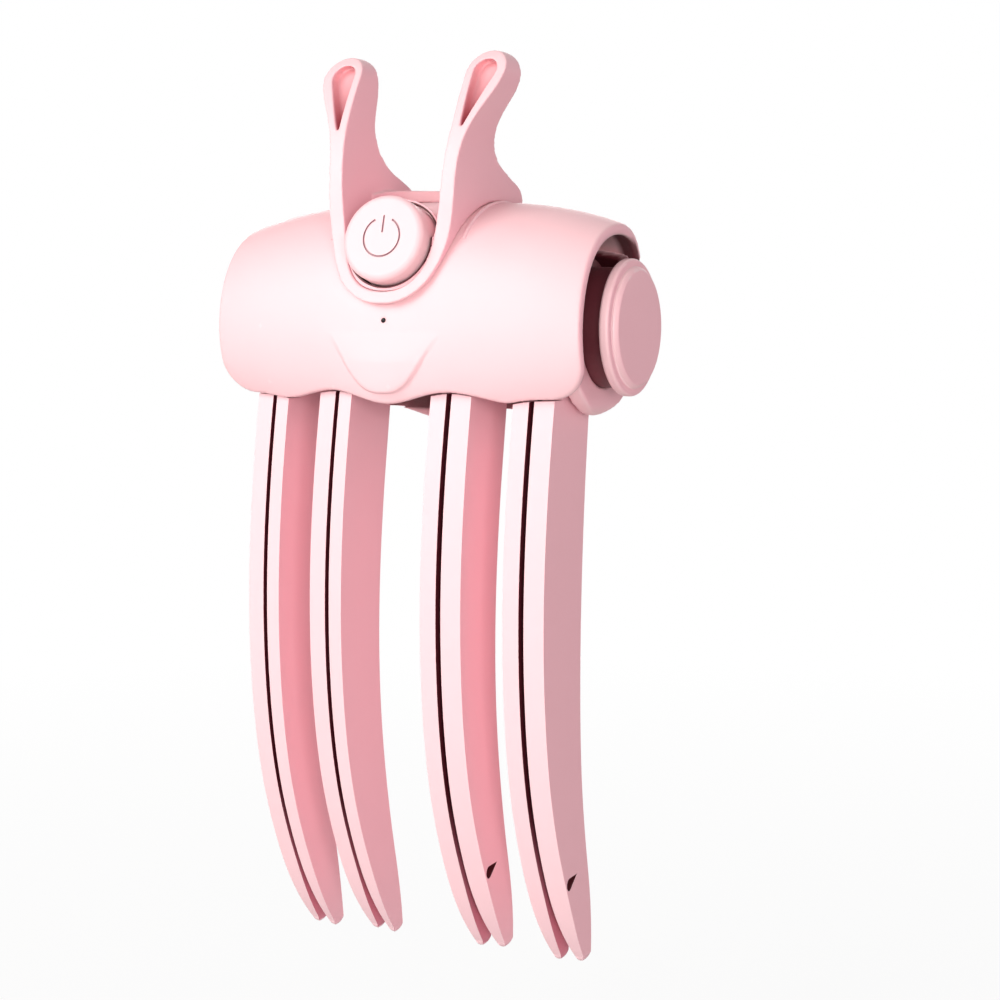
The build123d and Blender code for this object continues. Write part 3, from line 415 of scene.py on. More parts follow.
place_x = sum_of(coil_tree, "MULTIPLY", sum_of(coil_tree, "ADD", taken["Start"], along),
                 taken["Side"])
place_y = sum_of(coil_tree, "ADD", sum_of(coil_tree, "MULTIPLY", sine, taken["Coil Radius"]),
                 sum_of(coil_tree, "MULTIPLY", cosine, past))
place_z = sum_of(coil_tree, "SUBTRACT", sum_of(coil_tree, "MULTIPLY", cosine, taken["Coil Radius"]),
                 sum_of(coil_tree, "MULTIPLY", sine, past))
line = add_node(coil_tree, "GeometryNodeMeshLine")
spot = add_node(coil_tree, "ShaderNodeCombineXYZ")
put = add_node(coil_tree, "GeometryNodeSetPosition")
wire = add_node(coil_tree, "GeometryNodeMeshToCurve")
round_wire = add_node(coil_tree, "GeometryNodeCurvePrimitiveCircle", {"Resolution": 14})
sweep = add_node(coil_tree, "GeometryNodeCurveToMesh", {"Fill Caps": True})
link_all(coil_tree, (taken["Steps"], line.inputs["Count"]), (place_x, spot.inputs["X"]),
         (place_y, spot.inputs["Y"]), (place_z, spot.inputs["Z"]),
         (line.outputs["Mesh"], put.inputs["Geometry"]), (spot.outputs[0], put.inputs["Position"]),
         (put.outputs["Geometry"], wire.inputs["Mesh"]),
         (taken["Wire Radius"], round_wire.inputs["Radius"]),
         (wire.outputs["Curve"], sweep.inputs["Curve"]),
         (round_wire.outputs["Curve"], sweep.inputs["Profile Curve"]))
close_tree(coil_tree, taken, given, sweep.outputs["Mesh"])
spring_ends = (15.1, 22.5)
spring_middle = sum(spring_ends) / 2 * MM
spring_pitch = 1.3 * MM
spring_turns = 4
spring_start_angle = math.radians(-76)
for side, name in ((1, "right"), (-1, "left")):
    spring = grow_form(add_mesh_object("wound_spring_" + name, [(0, 0, 0)], []), coil_tree, {
        "Turns": float(spring_turns), "Pitch": spring_pitch, "Side": float(side),
        "Start Angle": spring_start_angle, "Start": spring_middle - spring_pitch * spring_turns / 2},
        spring_steel)
    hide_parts("torsion_spring_" + name)
    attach(spring, "root")


# Eight blades hang from the barrel in pairs, each moulded in one with the knuckle that turns on it.
# They are heat-resistant satin plastic with softly rounded edges and tips. The sides that grip hair are
# painted dark red as the shade in the narrow gap of each pair, lighter towards the tips. The knuckles and
# the notches' insides are painted dark red as shade too.
root_height = -11 * MM
tip_round, tip_levels, tip_spread, tip_slice, tip_blunt = 1.8 * MM, 9, 1.6, 0.2 * MM, 0.12
sharp_angle = math.radians(40)
gap_shade_full, gap_shade_thin = (0.10, 0.008, 0.016, 1), (0.66, 0.20, 0.27, 1)
gap_shade_start, gap_shade_end = -84 * MM, -108 * MM
notch_shade_red, knuckle_shade_red = (0.07, 0.008, 0.012), (0.15, 0.025, 0.035)
square_on = 0.9
# Each notch: its distance from the clip's middle, and its centre as seen from the side.
notch_spots = ((14.04 * MM, (0, -8.35 * MM, -97.4 * MM)), (28.64 * MM, (0, -5.6 * MM, -98.5 * MM)))
notch_half, notch_radius = 0.97 * MM, 2.5 * MM


def merged_copy(node, name):
    """A copy of a CAD piece with its loose triangles joined, free to be reworked."""
    mesh = bpy.data.meshes.new(name)
    work = bmesh.new()
    work.from_mesh(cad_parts[node].data)
    bmesh.ops.remove_doubles(work, verts=work.verts, dist=1e-6)
    work.to_mesh(mesh)
    work.free()
    mesh.materials.clear()
    made = bpy.data.objects.new(name, mesh)
    bpy.context.scene.collection.objects.link(made)
    return made


def round_end(work, height):
    """Round a blade's lowest end as seen from the front, by narrowing it level by level."""
    lowest = min(vertex.co.z for vertex in work.verts)
    for level in range(1, tip_levels + 1):
        cut = lowest + height * (level / tip_levels) ** tip_spread
        everything = work.verts[:] + work.edges[:] + work.faces[:]
        bmesh.ops.bisect_plane(work, geom=everything, plane_co=(0, 0, cut), plane_no=(0, 0, 1))
    end = [vertex.co.x for vertex in work.verts if vertex.co.z < lowest + tip_slice]
    middle = (min(end) + max(end)) / 2
    for vertex in work.verts:
        share = (lowest + height - vertex.co.z) / height
        if share > 0:
            narrowing = max(tip_blunt, math.sqrt(max(0.0, 1 - share * share)))
            vertex.co.x = middle + (vertex.co.x - middle) * narrowing


def eased_form(node, name, width, material, round_height=0.0):
    """A CAD piece with its sharp edges eased by a small bevel and, if given, its low end rounded."""
    piece = merged_copy(node, name)
    work = bmesh.new()
    work.from_mesh(piece.data)
    bmesh.ops.dissolve_limit(work, angle_limit=math.radians(1), verts=work.verts, edges=work.edges)
    if round_height:
        round_end(work, round_height)
    work.to_mesh(piece.data)
    work.free()
    piece.data.shade_smooth()
    bevel = piece.modifiers.new("eased_edges", "BEVEL")
    bevel.width = width
    bevel.segments = 3
    bevel.limit_method = "ANGLE"
    bevel.angle_limit = sharp_angle
    light = piece.modifiers.new("even_light", "WEIGHTED_NORMAL")
    light.keep_sharp = True
    bake_form(piece)
    give_finish(piece, material)
    return piece


def tint_where(material, mask, colour):
    """Mix a colour, plain or linked, into a material's own where the mask is 1."""
    tree = material.node_tree
    colour_in = tree.nodes["Principled BSDF"].inputs["Base Color"]
    mix = add_node(tree, "ShaderNodeMix", data_type="RGBA")
    link_all(tree, (mask, mix.inputs["Factor"]), (colour_in.links[0].from_socket, mix.inputs["A"]))
    if isinstance(colour, tuple):
        mix.inputs["B"].default_value = (*colour, 1)
    else:
        tree.links.new(colour, mix.inputs["B"])
    tree.links.new(mix.outputs["Result"], colour_in)


# Each blade material also paints its sideways faces a deeper pink as shade.
for jaw, facing in (("front", 1), ("back", -1)):
    blade_pink = skin_material("blade_pink_" + jaw, colour=(0.88, 0.585, 0.62), deep=(0.87, 0.555, 0.59),
                               patch_scale=45, grain_scale=2200, gloss=(0.38, 0.5), bump=0.012 * MM,
                               specular=0.6, side=(0.90, 0.46, 0.525))
    tree = blade_pink.node_tree
    here = add_node(tree, "ShaderNodeTexCoord").outputs["Object"]
    surface = add_node(tree, "ShaderNodeNewGeometry")
    spot = add_node(tree, "ShaderNodeSeparateXYZ")
    aim = add_node(tree, "ShaderNodeSeparateXYZ")
    link_all(tree, (here, spot.inputs[0]), (surface.outputs["True Normal"], aim.inputs[0]))
    outward = sum_of(tree, "MULTIPLY", aim.outputs["X"], sum_of(tree, "SIGN", spot.outputs["X"]))
    # Faces turned towards the neighbour blade are painted dark red as the shade of the gap, lighter towards
    # the tips.
    gripping = sum_of(tree, "GREATER_THAN", sum_of(tree, "MULTIPLY", outward, facing), square_on)
    hanging = sum_of(tree, "LESS_THAN", spot.outputs["Z"], root_height)
    toward_tip = add_node(tree, "ShaderNodeMapRange", {"From Min": gap_shade_start, "From Max": gap_shade_end})
    gap_shade_mix = add_node(tree, "ShaderNodeMix", {"A": gap_shade_full, "B": gap_shade_thin}, data_type="RGBA")
    link_all(tree, (spot.outputs["Z"], toward_tip.inputs["Value"]),
             (toward_tip.outputs["Result"], gap_shade_mix.inputs["Factor"]))
    tint_where(blade_pink, sum_of(tree, "MULTIPLY", gripping, hanging), gap_shade_mix.outputs["Result"])
    if jaw == "back":
        # The notches' insides are painted dark red as shade.
        across = sum_of(tree, "ABSOLUTE", spot.outputs["X"])
        flat_place = add_node(tree, "ShaderNodeVectorMath", {1: (0, 1, 1)}, operation="MULTIPLY")
        tree.links.new(here, flat_place.inputs[0])
        for middle, centre in notch_spots:
            apart = add_node(tree, "ShaderNodeVectorMath", {1: centre}, operation="DISTANCE")
            tree.links.new(flat_place.outputs[0], apart.inputs[0])
            near = sum_of(tree, "LESS_THAN", apart.outputs["Value"], notch_radius)
            sunk = sum_of(tree, "MULTIPLY", near, sum_of(tree, "COMPARE", across, middle, notch_half))
            tint_where(blade_pink, sunk, notch_shade_red)
    # Above the root the knuckle is painted dark red as shade.
    tint_where(blade_pink, sum_of(tree, "SUBTRACT", 1, hanging), knuckle_shade_red)
    for number in range(1, 5):
        node = "blade_%s_%d" % (jaw, number)
        blade = eased_form(node, "satin_" + node, 0.3 * MM, blade_pink, tip_round)
        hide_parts(node)
        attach(blade, "front" if jaw == "front" else "root")


# A coated ceramic heating strip is let into the side of each blade that faces its neighbour.
# Its dull, dark red coating is slightly speckled.
heater_ceramic = skin_material("heater_ceramic", colour=(0.30, 0.09, 0.115), deep=(0.24, 0.07, 0.09),
                               patch_scale=400, grain_scale=3200, gloss=(0.5, 0.66), bump=0.01 * MM)
for jaw in ("front", "back"):
    for number in range(1, 5):
        finish_cad_node("heater_%s_%d" % (jaw, number), heater_ceramic)


# Each jaw's four blades are screwed to a curved plate that runs along inside its cover.
# The plates are moulded in a dull, dark red.
carrier_plate = skin_material("carrier_plate", colour=(0.30, 0.09, 0.115), deep=(0.25, 0.07, 0.095),
                              patch_scale=60, grain_scale=1500, gloss=(0.48, 0.62), bump=0.012 * MM)
finish_cad_node("front_carrier", carrier_plate)
finish_cad_node("back_carrier", carrier_plate)


# Small steel screws with crossed recesses hold the blades to the carriers, the covers over these,
# and the board to its posts. The heads of the back cover's four screws show from behind.
screw_steel = metal_material("screw_steel", colour=(0.62, 0.62, 0.64), dark=(0.48, 0.48, 0.50),
                             stretch_by=(1, 1, 1), streak_scale=2600, gloss=(0.24, 0.4))
screw_tree, taken, given = form_tree("crossed_screw", {
    "Head Radius": ("Float", 0.0014), "Neck Radius": ("Float", 0.0008), "Head Depth": ("Float", 0.0007),
    "Shank Radius": ("Float", 0.0008), "Length": ("Float", 0.003), "Recess Width": ("Float", 0.00042),
    "Recess Depth": ("Float", 0.0005)})
head = add_node(screw_tree, "GeometryNodeMeshCone", {"Vertices": 32}, fill_type="NGON")
shank = add_node(screw_tree, "GeometryNodeMeshCylinder", {"Vertices": 24}, fill_type="NGON")
shank_place = add_node(screw_tree, "GeometryNodeTransform")
shank_middle = add_node(screw_tree, "ShaderNodeCombineXYZ")
half_length = sum_of(screw_tree, "MULTIPLY", taken["Length"], 0.5)
whole_screw = add_node(screw_tree, "GeometryNodeMeshBoolean", operation="UNION", solver="EXACT")
recess_length = sum_of(screw_tree, "MULTIPLY", taken["Head Radius"], 1.3)
recess_width = taken["Recess Width"]
arms = []
for first, second in ((recess_length, recess_width), (recess_width, recess_length)):
    arm = add_node(screw_tree, "GeometryNodeMeshCube")
    arm_size = add_node(screw_tree, "ShaderNodeCombineXYZ")
    link_all(screw_tree, (first, arm_size.inputs["X"]), (second, arm_size.inputs["Y"]),
             (sum_of(screw_tree, "MULTIPLY", taken["Recess Depth"], 2), arm_size.inputs["Z"]),
             (arm_size.outputs[0], arm.inputs["Size"]))
    arms.append(arm.outputs["Mesh"])
cut_screw = add_node(screw_tree, "GeometryNodeMeshBoolean", operation="DIFFERENCE", solver="EXACT")
way = add_node(screw_tree, "GeometryNodeInputNamedAttribute", {"Name": "way"}, data_type="FLOAT_VECTOR")
aim = add_node(screw_tree, "FunctionNodeAlignRotationToVector", axis="Z")
place = add_node(screw_tree, "GeometryNodeInstanceOnPoints")
link_all(screw_tree, (taken["Head Radius"], head.inputs["Radius Bottom"]),
         (taken["Neck Radius"], head.inputs["Radius Top"]), (taken["Head Depth"], head.inputs["Depth"]),
         (taken["Shank Radius"], shank.inputs["Radius"]), (taken["Length"], shank.inputs["Depth"]),
         (half_length, shank_middle.inputs["Z"]),
         (shank_middle.outputs[0], shank_place.inputs["Translation"]),
         (shank.outputs["Mesh"], shank_place.inputs["Geometry"]),
         (head.outputs["Mesh"], whole_screw.inputs["Mesh 2"]),
         (shank_place.outputs["Geometry"], whole_screw.inputs["Mesh 2"]),
         (whole_screw.outputs["Mesh"], cut_screw.inputs["Mesh 1"]), (arms[0], cut_screw.inputs["Mesh 2"]),
         (arms[1], cut_screw.inputs["Mesh 2"]), (taken["Geometry"], place.inputs["Points"]),
         (cut_screw.outputs["Mesh"], place.inputs["Instance"]),
         (way.outputs["Attribute"], aim.inputs["Vector"]),
         (aim.outputs["Rotation"], place.inputs["Rotation"]))
close_tree(screw_tree, taken, given, place.outputs["Instances"])


def drive_screws(node, body, places, sizes):
    """Screws in one group, each with its head's place and direction, mirrored across the middle."""
    both = [(Vector((side * spot[0], spot[1], spot[2])), way) for spot, way in places for side in (1, -1)]
    points = add_mesh_object("crossed_" + node, [spot for spot, _ in both], [])
    ways = points.data.attributes.new("way", "FLOAT_VECTOR", "POINT")
    for entry, (_, way) in zip(ways.data, both):
        entry.vector = way
    screws = grow_form(points, screw_tree, sizes, screw_steel)
    flat = screws.modifiers.new("even_light", "WEIGHTED_NORMAL")
    flat.keep_sharp = True
    bake_form(screws)
    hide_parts(node)
    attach(screws, body)


def from_axis(x, angle, radius):
    """Point at a distance in millimetres from the barrel's axis, at an angle counted from straight up."""
    turn = math.radians(angle)
    return Vector((x, radius * math.sin(turn), radius * math.cos(turn))) * MM


for node, body, angle, radii, outward, length in (
        ("blade_screws_front", "front", -100, ((9.3, 13.55), (23.9, 13.55)), -1, 2.3),
        ("blade_screws_back", "root", 108, ((13.35, 13.55), (27.95, 13.55)), -1, 2.3),
        ("cover_screws_front", "front", -98, ((4.6, 12.85), (18.8, 12.85)), 1, 4.1),
        ("cover_screws_back", "root", 124, ((4.6, 17.29), (18.8, 16.97)), -1, 4.3)):
    direction = from_axis(0, angle, 1).normalized() * outward
    heads = [(from_axis(x, angle, radius), direction) for x, radius in radii]
    drive_screws(node, body, heads, {"Length": length * MM})
button_tilt = math.radians(16)
button_inward = Vector((0, math.cos(button_tilt), -math.sin(button_tilt)))
button_upward = Vector((0, math.sin(button_tilt), math.cos(button_tilt)))
button_centre = Vector((0, -20.9, 15.7)) * MM
board_depth, board_screw_x = 14.2, 10.3
board_screw = button_centre + button_inward * board_depth * MM + button_upward * MM
board_screw += Vector((board_screw_x * MM, 0, 0))
drive_screws("board_screws", "front", [(board_screw, -button_inward)],
             {"Length": 3.7 * MM, "Neck Radius": 1.4 * MM})


# The front cover is the swollen upper shell of the moving jaw, moulded in pale satin pink.
# Its lower rim is a rounded scalloped lip, and a bell-shaped apron stands a little proud below the light.
# Raised edges get a painted highlight: paler where the surface is most pointed, and a little glossier.
edge_highlight_gloss, taken, given = make_group("edge_highlight_gloss", "ShaderNodeTree", {
    "Colour": ("Color", (0.8, 0.5, 0.55, 1)), "Edge Highlight Colour": ("Color", (0.9, 0.7, 0.72, 1)),
    "Roughness": ("Float", 0.45), "Edge Roughness": ("Float", 0.35)},
    {"Colour": "Color", "Roughness": "Float"})
shape = add_node(edge_highlight_gloss, "ShaderNodeNewGeometry")
edge = add_node(edge_highlight_gloss, "ShaderNodeMapRange", {"From Min": 0.53, "From Max": 0.62, "To Max": 0.45})
tint = add_node(edge_highlight_gloss, "ShaderNodeMix", data_type="RGBA")
polish = add_node(edge_highlight_gloss, "ShaderNodeMix", data_type="FLOAT")
link_all(edge_highlight_gloss, (shape.outputs["Pointiness"], edge.inputs["Value"]),
         (edge.outputs["Result"], tint.inputs["Factor"]), (edge.outputs["Result"], polish.inputs[0]),
         (taken["Colour"], tint.inputs["A"]), (taken["Edge Highlight Colour"], tint.inputs["B"]),
         (taken["Roughness"], polish.inputs[2]), (taken["Edge Roughness"], polish.inputs[3]),
         (tint.outputs["Result"], given["Colour"]), (polish.outputs[0], given["Roughness"]))


def highlight_edges(material, colour, roughness):
    """Lighten a plastic's raised edges as a painted highlight, and make them a little glossier."""
    tree = material.node_tree
    shader = tree.nodes["Principled BSDF"]
    edges = add_node(tree, "ShaderNodeGroup", node_tree=edge_highlight_gloss)
    edges.inputs["Edge Highlight Colour"].default_value = (*colour, 1)
    edges.inputs["Edge Roughness"].default_value = roughness
    for socket, target in (("Colour", "Base Color"), ("Roughness", "Roughness")):
        link_all(tree, (shader.inputs[target].links[0].from_socket, edges.inputs[socket]),
                 (edges.outputs[socket], shader.inputs[target]))


def moulded_form(node, name, voxel, rounds, material):
    """A CAD piece cast again as one fine skin whose edges are rounded as in a mould."""
    piece = merged_copy(node, name)
    cast = piece.modifiers.new("cast", "REMESH")
    cast.mode = "VOXEL"
    cast.voxel_size = voxel
    cast.use_smooth_shade = True
    ease = piece.modifiers.new("ease", "SMOOTH")
    ease.factor = 0.5
    ease.iterations = rounds
    bake_form(piece)
    give_finish(piece, material)
    return piece


# The shell's faces that turn to the left or right are painted a deeper pink as shade.
shell_pink = skin_material("shell_pink", colour=(0.88, 0.565, 0.595), deep=(0.87, 0.535, 0.565),
                           patch_scale=40, grain_scale=2400, gloss=(0.42, 0.54), bump=0.012 * MM,
                           side=(0.88, 0.46, 0.525))
# A painted highlight on the shell's raised edges.
highlight_edges(shell_pink, (0.90, 0.63, 0.655), 0.36)
front_cover = moulded_form("front_cover", "satin_front_cover", 0.36 * MM, 2, shell_pink)
apron_half, apron_top, apron_depth = 12.3 * MM, -0.7 * MM, 10.5 * MM
apron_proud, apron_step, apron_fade = 0.55 * MM, 0.32 * MM, 5 * MM
apron_curve = 1.4
cover_skin_radius = 18.6 * MM


def clamped(share):
    """A share held between 0 and 1."""
    return max(0.0, min(1.0, share))


def apron_edge(x):
    """Height of the bell's lower edge at x."""
    share = min(abs(x) / apron_half, 1.0)
    return apron_top - apron_depth * math.cos(math.pi / 2 * share ** apron_curve) ** 2


for vertex in front_cover.data.vertices:
    x, y, z = vertex.co
    if abs(x) < apron_half and y < 0 and math.hypot(y, z) > cover_skin_radius:
        slope = (apron_edge(x + MM / 2) - apron_edge(x - MM / 2)) / MM
        inside = (z - apron_edge(x)) / math.hypot(1, slope)
        rise = clamped(inside / apron_step + 0.5)
        fade = clamped((apron_top - z) / apron_fade)
        out = apron_proud * rise * rise * (3 - 2 * rise) * fade
        vertex.co += Vector((0, y, z)).normalized() * out


# The covers' inner walls are painted deep red as shade.
inside_shade_red = (0.12, 0.016, 0.024)
inside_half_length, inside_radius = 35.7 * MM, 17.4 * MM
length_fade, radius_fade = 0.5 * MM, 0.4 * MM
turned_from, turned_fade = 0.3, 0.4


def darken_inside(cover, name, low, high):
    """Paint a cover's inner wall deep red as shade, fading in between two heights."""
    inside = cover.data.attributes.new("inside", "FLOAT", "POINT")
    for vertex, entry in zip(cover.data.vertices, inside.data):
        from_hinge = Vector((0, vertex.co.y, vertex.co.z))
        inward = (turned_from - vertex.normal.dot(from_hinge.normalized())) / turned_fade
        within = (inside_half_length - abs(vertex.co.x)) / length_fade
        under = (inside_radius - from_hinge.length) / radius_fade
        raised = (vertex.co.z - low) / (high - low)
        entry.value = math.prod(clamped(share) for share in (inward, within, under, raised))
    shaded_copy = shell_pink.copy()
    shaded_copy.name = name
    mark = add_node(shaded_copy.node_tree, "ShaderNodeAttribute", attribute_name="inside")
    tint_where(shaded_copy, mark.outputs["Fac"], inside_shade_red)
    give_finish(cover, shaded_copy)


darken_inside(front_cover, "shell_pink_front", -15 * MM, -14 * MM)
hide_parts("front_cover")
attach(front_cover, "front")


# A fine raised lip runs over the cover beside each ear's foot, from the collar to the rear.
# It is drawn as a bead on the cover's own surface, thinning out at both ends.
bead_tree, taken, given = form_tree("surface_bead", {
    "Surface": ("Object", None), "Bead Radius": ("Float", 0.0005), "Sink": ("Float", 0.0002),
    "Steps": ("Int", 90)})
curve = add_node(bead_tree, "GeometryNodeMeshToCurve")
smooth = add_node(bead_tree, "GeometryNodeCurveSplineType", spline_type="CATMULL_ROM")
spaced = add_node(bead_tree, "GeometryNodeResampleCurve")
surface = add_node(bead_tree, "GeometryNodeObjectInfo", transform_space="ORIGINAL")
where = add_node(bead_tree, "GeometryNodeInputPosition")
from_middle = add_node(bead_tree, "ShaderNodeVectorMath", {1: (0, 1, 1)}, operation="MULTIPLY")
outward = add_node(bead_tree, "ShaderNodeVectorMath", operation="NORMALIZE")
inward = add_node(bead_tree, "ShaderNodeVectorMath", {"Scale": -1.0}, operation="SCALE")
ray = add_node(bead_tree, "GeometryNodeRaycast", {"Ray Length": 0.03})
depth = add_node(bead_tree, "ShaderNodeVectorMath", operation="SCALE")
landed = add_node(bead_tree, "ShaderNodeVectorMath", operation="ADD")
put = add_node(bead_tree, "GeometryNodeSetPosition")
along = add_node(bead_tree, "GeometryNodeSplineParameter").outputs["Factor"]
both_ends = sum_of(bead_tree, "MINIMUM", along, sum_of(bead_tree, "SUBTRACT", 1, along))
tapered = sum_of(bead_tree, "ADD", sum_of(bead_tree, "MULTIPLY", both_ends, 3), 0.05)
thin = sum_of(bead_tree, "MINIMUM", tapered, 1)
swell = add_node(bead_tree, "GeometryNodeSetCurveRadius")
bead = add_node(bead_tree, "GeometryNodeCurvePrimitiveCircle", {"Resolution": 12})
sweep = add_node(bead_tree, "GeometryNodeCurveToMesh", {"Fill Caps": True})
link_all(bead_tree, (taken["Geometry"], curve.inputs["Mesh"]),
         (curve.outputs["Curve"], smooth.inputs["Curve"]),
         (smooth.outputs["Curve"], spaced.inputs["Curve"]), (taken["Steps"], spaced.inputs["Count"]),
         (taken["Surface"], surface.inputs["Object"]), (where.outputs[0], from_middle.inputs[0]),
         (from_middle.outputs[0], outward.inputs[0]), (outward.outputs[0], inward.inputs[0]),
         (surface.outputs["Geometry"], ray.inputs["Target Geometry"]),
         (where.outputs[0], ray.inputs["Source Position"]),
         (inward.outputs[0], ray.inputs["Ray Direction"]), (inward.outputs[0], depth.inputs[0]),
         (taken["Sink"], depth.inputs["Scale"]), (ray.outputs["Hit Position"], landed.inputs[0]),
         (depth.outputs[0], landed.inputs[1]), (spaced.outputs["Curve"], put.inputs["Geometry"]),
         (landed.outputs[0], put.inputs["Position"]), (put.outputs["Geometry"], swell.inputs["Curve"]),
         (thin, swell.inputs["Radius"]), (swell.outputs["Curve"], sweep.inputs["Curve"]),
         (taken["Bead Radius"], bead.inputs["Radius"]),
         (bead.outputs["Curve"], sweep.inputs["Profile Curve"]))
close_tree(bead_tree, taken, given, sweep.outputs["Mesh"])
ear_lip = [(-16.2, 16.3), (-12.8, 18.9), (-8.8, 21.1), (-5.4, 22.3), (-1.0, 22.9), (4.4, 22.9), (8.9, 22.5)]
lip_x, guide_lift = 13.0, 1.2
for side, name in ((1, "right"), (-1, "left")):
    points = [Vector((lip_x * side, y * guide_lift, z * guide_lift)) * MM for y, z in ear_lip]
    steps = [(place, place + 1) for place in range(len(points) - 1)]
    guide = add_mesh_object("ear_lip_" + name, points, [], steps)
    lip = grow_form(guide, bead_tree, {"Surface": front_cover, "Bead Radius": 0.5 * MM, "Sink": 0.2 * MM},
                    shell_pink)
    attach(lip, "front")


# The back cover closes the lower rear, round the carrier and the ends of the barrel.
# Its thumb lever stands up behind, with three grip ribs across it.
back_cover = moulded_form("back_cover", "satin_back_cover", 0.34 * MM, 2, shell_pink)
darken_inside(back_cover, "shell_pink_back", -9 * MM, -3 * MM)
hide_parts("back_cover")
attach(back_cover, "root")


# The two finger ears, the collar round the button and the bridge behind it are one moulding.
# It is seated on the cover, and a scoop in each ear's front leads the fingertip.
ears = moulded_form("ear_frame", "satin_ears", 0.22 * MM, 3, shell_pink)
scoop_top, scoop_point = Vector((14.1, 44.4)) * MM, Vector((12.05, 33.6)) * MM
scoop_half, scoop_margin, scoop_depth = 2.25 * MM, 0.15 * MM, 4.5 * MM
scoop_rim, scoop_fade = 0.35 * MM, 0.6 * MM
scoop_pale_height, scoop_deep_height = 45 * MM, 34 * MM
scoop_line = scoop_top - scoop_point
front_at = {}
for vertex in ears.data.vertices:
    level = round(vertex.co.z / MM)
    front_at[level] = min(front_at.get(level, 0.0), vertex.co.y)
scooped = ears.data.attributes.new("scooped", "FLOAT", "POINT")
for vertex, entry in zip(ears.data.vertices, scooped.data):
    spot = Vector((abs(vertex.co.x), vertex.co.z))
    share = clamped((spot - scoop_point).dot(scoop_line) / scoop_line.length_squared)
    aside = (spot - scoop_point.lerp(scoop_top, share)).length
    below = math.floor(vertex.co.z / MM)
    part = vertex.co.z / MM - below
    front = front_at.get(below, 0.0) * (1 - part) + front_at.get(below + 1, 0.0) * part
    sunk = vertex.co.y - front
    if aside < scoop_half * share + scoop_margin and sunk < scoop_depth:
        entry.value = clamped((sunk - scoop_rim) / scoop_fade)
# Inside each scoop the pink is painted darker towards the bottom, as shade.
ear_pink = shell_pink.copy()
ear_pink.name = "ear_pink"
tree = ear_pink.node_tree
mark = add_node(tree, "ShaderNodeAttribute", attribute_name="scooped")
here = add_node(tree, "ShaderNodeTexCoord").outputs["Object"]
spot = add_node(tree, "ShaderNodeSeparateXYZ")
low = add_node(tree, "ShaderNodeMapRange", {"From Min": scoop_pale_height, "From Max": scoop_deep_height})
shade = add_node(tree, "ShaderNodeMix", {"A": (0.86, 0.45, 0.48, 1), "B": (0.42, 0.04, 0.07, 1)},
                 data_type="RGBA")
link_all(tree, (here, spot.inputs[0]), (spot.outputs["Z"], low.inputs["Value"]),
         (low.outputs["Result"], shade.inputs["Factor"]))
tint_where(ear_pink, mark.outputs["Fac"], shade.outputs["Result"])
give_finish(ears, ear_pink)
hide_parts("ear_frame")
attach(ears, "front")


# The end caps are thin flanged discs pushed into the barrel, of the same moulding as the covers.
# The left one is slotted for the charging socket.
for side in ("right", "left"):
    cap = eased_form("end_cap_" + side, "satin_cap_" + side, 0.3 * MM, shell_pink)
    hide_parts("end_cap_" + side)
    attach(cap, "root")


# The power button is a moulded cap on a plunger that presses the switch behind it.
# The symbol on its face is engraved and filled in a greyer pink.
button_pink = skin_material("button_pink", colour=(0.88, 0.57, 0.60), deep=(0.87, 0.54, 0.57),
                            patch_scale=80, grain_scale=2600, gloss=(0.4, 0.5), bump=0.01 * MM)
button = eased_form("power_button", "satin_button", 0.07 * MM, button_pink)
symbol_fill = skin_material("symbol_fill", colour=(0.44, 0.25, 0.28), deep=(0.38, 0.21, 0.24),
                            patch_scale=300, grain_scale=3000, gloss=(0.45, 0.6), bump=0.01 * MM)
button.data.materials.append(symbol_fill)
symbol_near, symbol_far, symbol_reach = 0.1 * MM, 0.5 * MM, 4.3 * MM
for face in button.data.polygons:
    depth = (face.center - button_centre).dot(button_inward)
    aside = (face.center - button_centre - button_inward * depth).length
    if symbol_near < depth < symbol_far and aside < symbol_reach:
        face.material_index = 1
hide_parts("power_button")
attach(button, "button")
finish_cad_node("switch_plunger", button_pink)


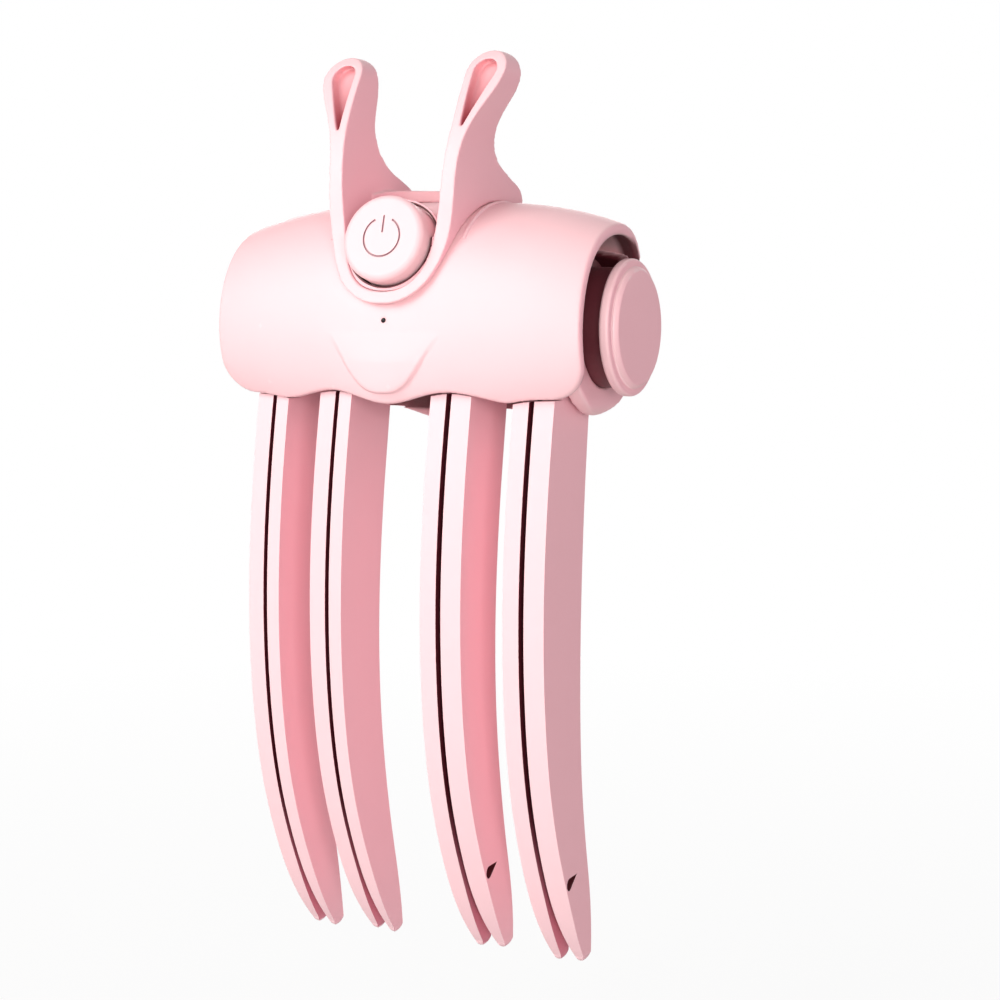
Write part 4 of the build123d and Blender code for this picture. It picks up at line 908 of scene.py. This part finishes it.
# A pale glossy ring lies sunk round the button, wider below, where the collar leaves room.
# Its inner edge, down beside the button, is painted dark red as the shade of the gap round the button.
bezel_inner_radius = 8.35 * MM
bezel_pale = skin_material("bezel_pale", colour=(0.84, 0.50, 0.54), deep=(0.81, 0.46, 0.50), patch_scale=90,
                           grain_scale=2600, gloss=(0.34, 0.44), bump=0.006 * MM, specular=0.3)
tree = bezel_pale.node_tree
here = add_node(tree, "ShaderNodeTexCoord").outputs["Object"]
from_button = add_node(tree, "ShaderNodeVectorMath", {1: button_centre}, operation="SUBTRACT")
round_button = add_node(tree, "ShaderNodeVectorMath", {1: button_inward}, operation="CROSS_PRODUCT")
away = add_node(tree, "ShaderNodeVectorMath", operation="LENGTH")
ring_gap_shade = sum_of(tree, "LESS_THAN", away.outputs["Value"], bezel_inner_radius)
link_all(tree, (here, from_button.inputs[0]), (from_button.outputs[0], round_button.inputs[0]),
         (round_button.outputs[0], away.inputs[0]))
# The ring's inner edge is painted dark red as shade.
tint_where(bezel_pale, ring_gap_shade, (0.09, 0.012, 0.018))
bezel = eased_form("button_bezel", "glossy_bezel", 0.08 * MM, bezel_pale)
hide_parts("button_bezel")
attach(bezel, "front")


# The push switch is a moulded black block soldered to the board.
# The status light is a clear dark pin with a rounded end, let through the cover's front above the apron.
switch_black = skin_material("switch_black", colour=(0.02, 0.02, 0.022), deep=(0.03, 0.03, 0.032),
                             patch_scale=200, grain_scale=2600, gloss=(0.4, 0.55), bump=0.01 * MM)
finish_cad_node("tact_switch", switch_black)
light_pipe = skin_material("light_pipe", colour=(0.006, 0.004, 0.005), deep=(0.01, 0.006, 0.008),
                           patch_scale=300, grain_scale=3000, gloss=(0.2, 0.3), bump=0.002 * MM,
                           specular=0.3)
light_profile = [(0.0, -20.62), (0.2, -20.6), (0.36, -20.52), (0.45, -20.4), (0.5, -20.25),
                 (0.5, -18.1), (1.1, -18.1), (1.1, -17.35), (0.0, -17.35)]
light_height = 1.25
light_turns = 28
rings = []
for radius, y in light_profile[1:-1]:
    turns = [math.tau * step / light_turns for step in range(light_turns)]
    rings.append([Vector((radius * math.cos(turn), y, light_height + radius * math.sin(turn))) * MM
                  for turn in turns])
points = [point for ring in rings for point in ring]
points += [Vector((0, y, light_height)) * MM for _, y in (light_profile[0], light_profile[-1])]
first, last = len(points) - 2, len(points) - 1
faces = []
for step in range(light_turns):
    following = (step + 1) % light_turns
    faces.append((first, step, following))
    for ring in range(len(rings) - 1):
        start = ring * light_turns
        onward = start + light_turns
        faces.append((start + step, onward + step, onward + following, start + following))
    start = (len(rings) - 1) * light_turns
    faces.append((start + step, last, start + following))
light_pin = add_mesh_object("status_light", points, faces)
light_pin.data.shade_smooth()
light_pin.data.set_sharp_from_angle(angle=sharp_angle)
light_pin.data.materials.append(light_pipe)
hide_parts("light_pipe")
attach(light_pin, "front")
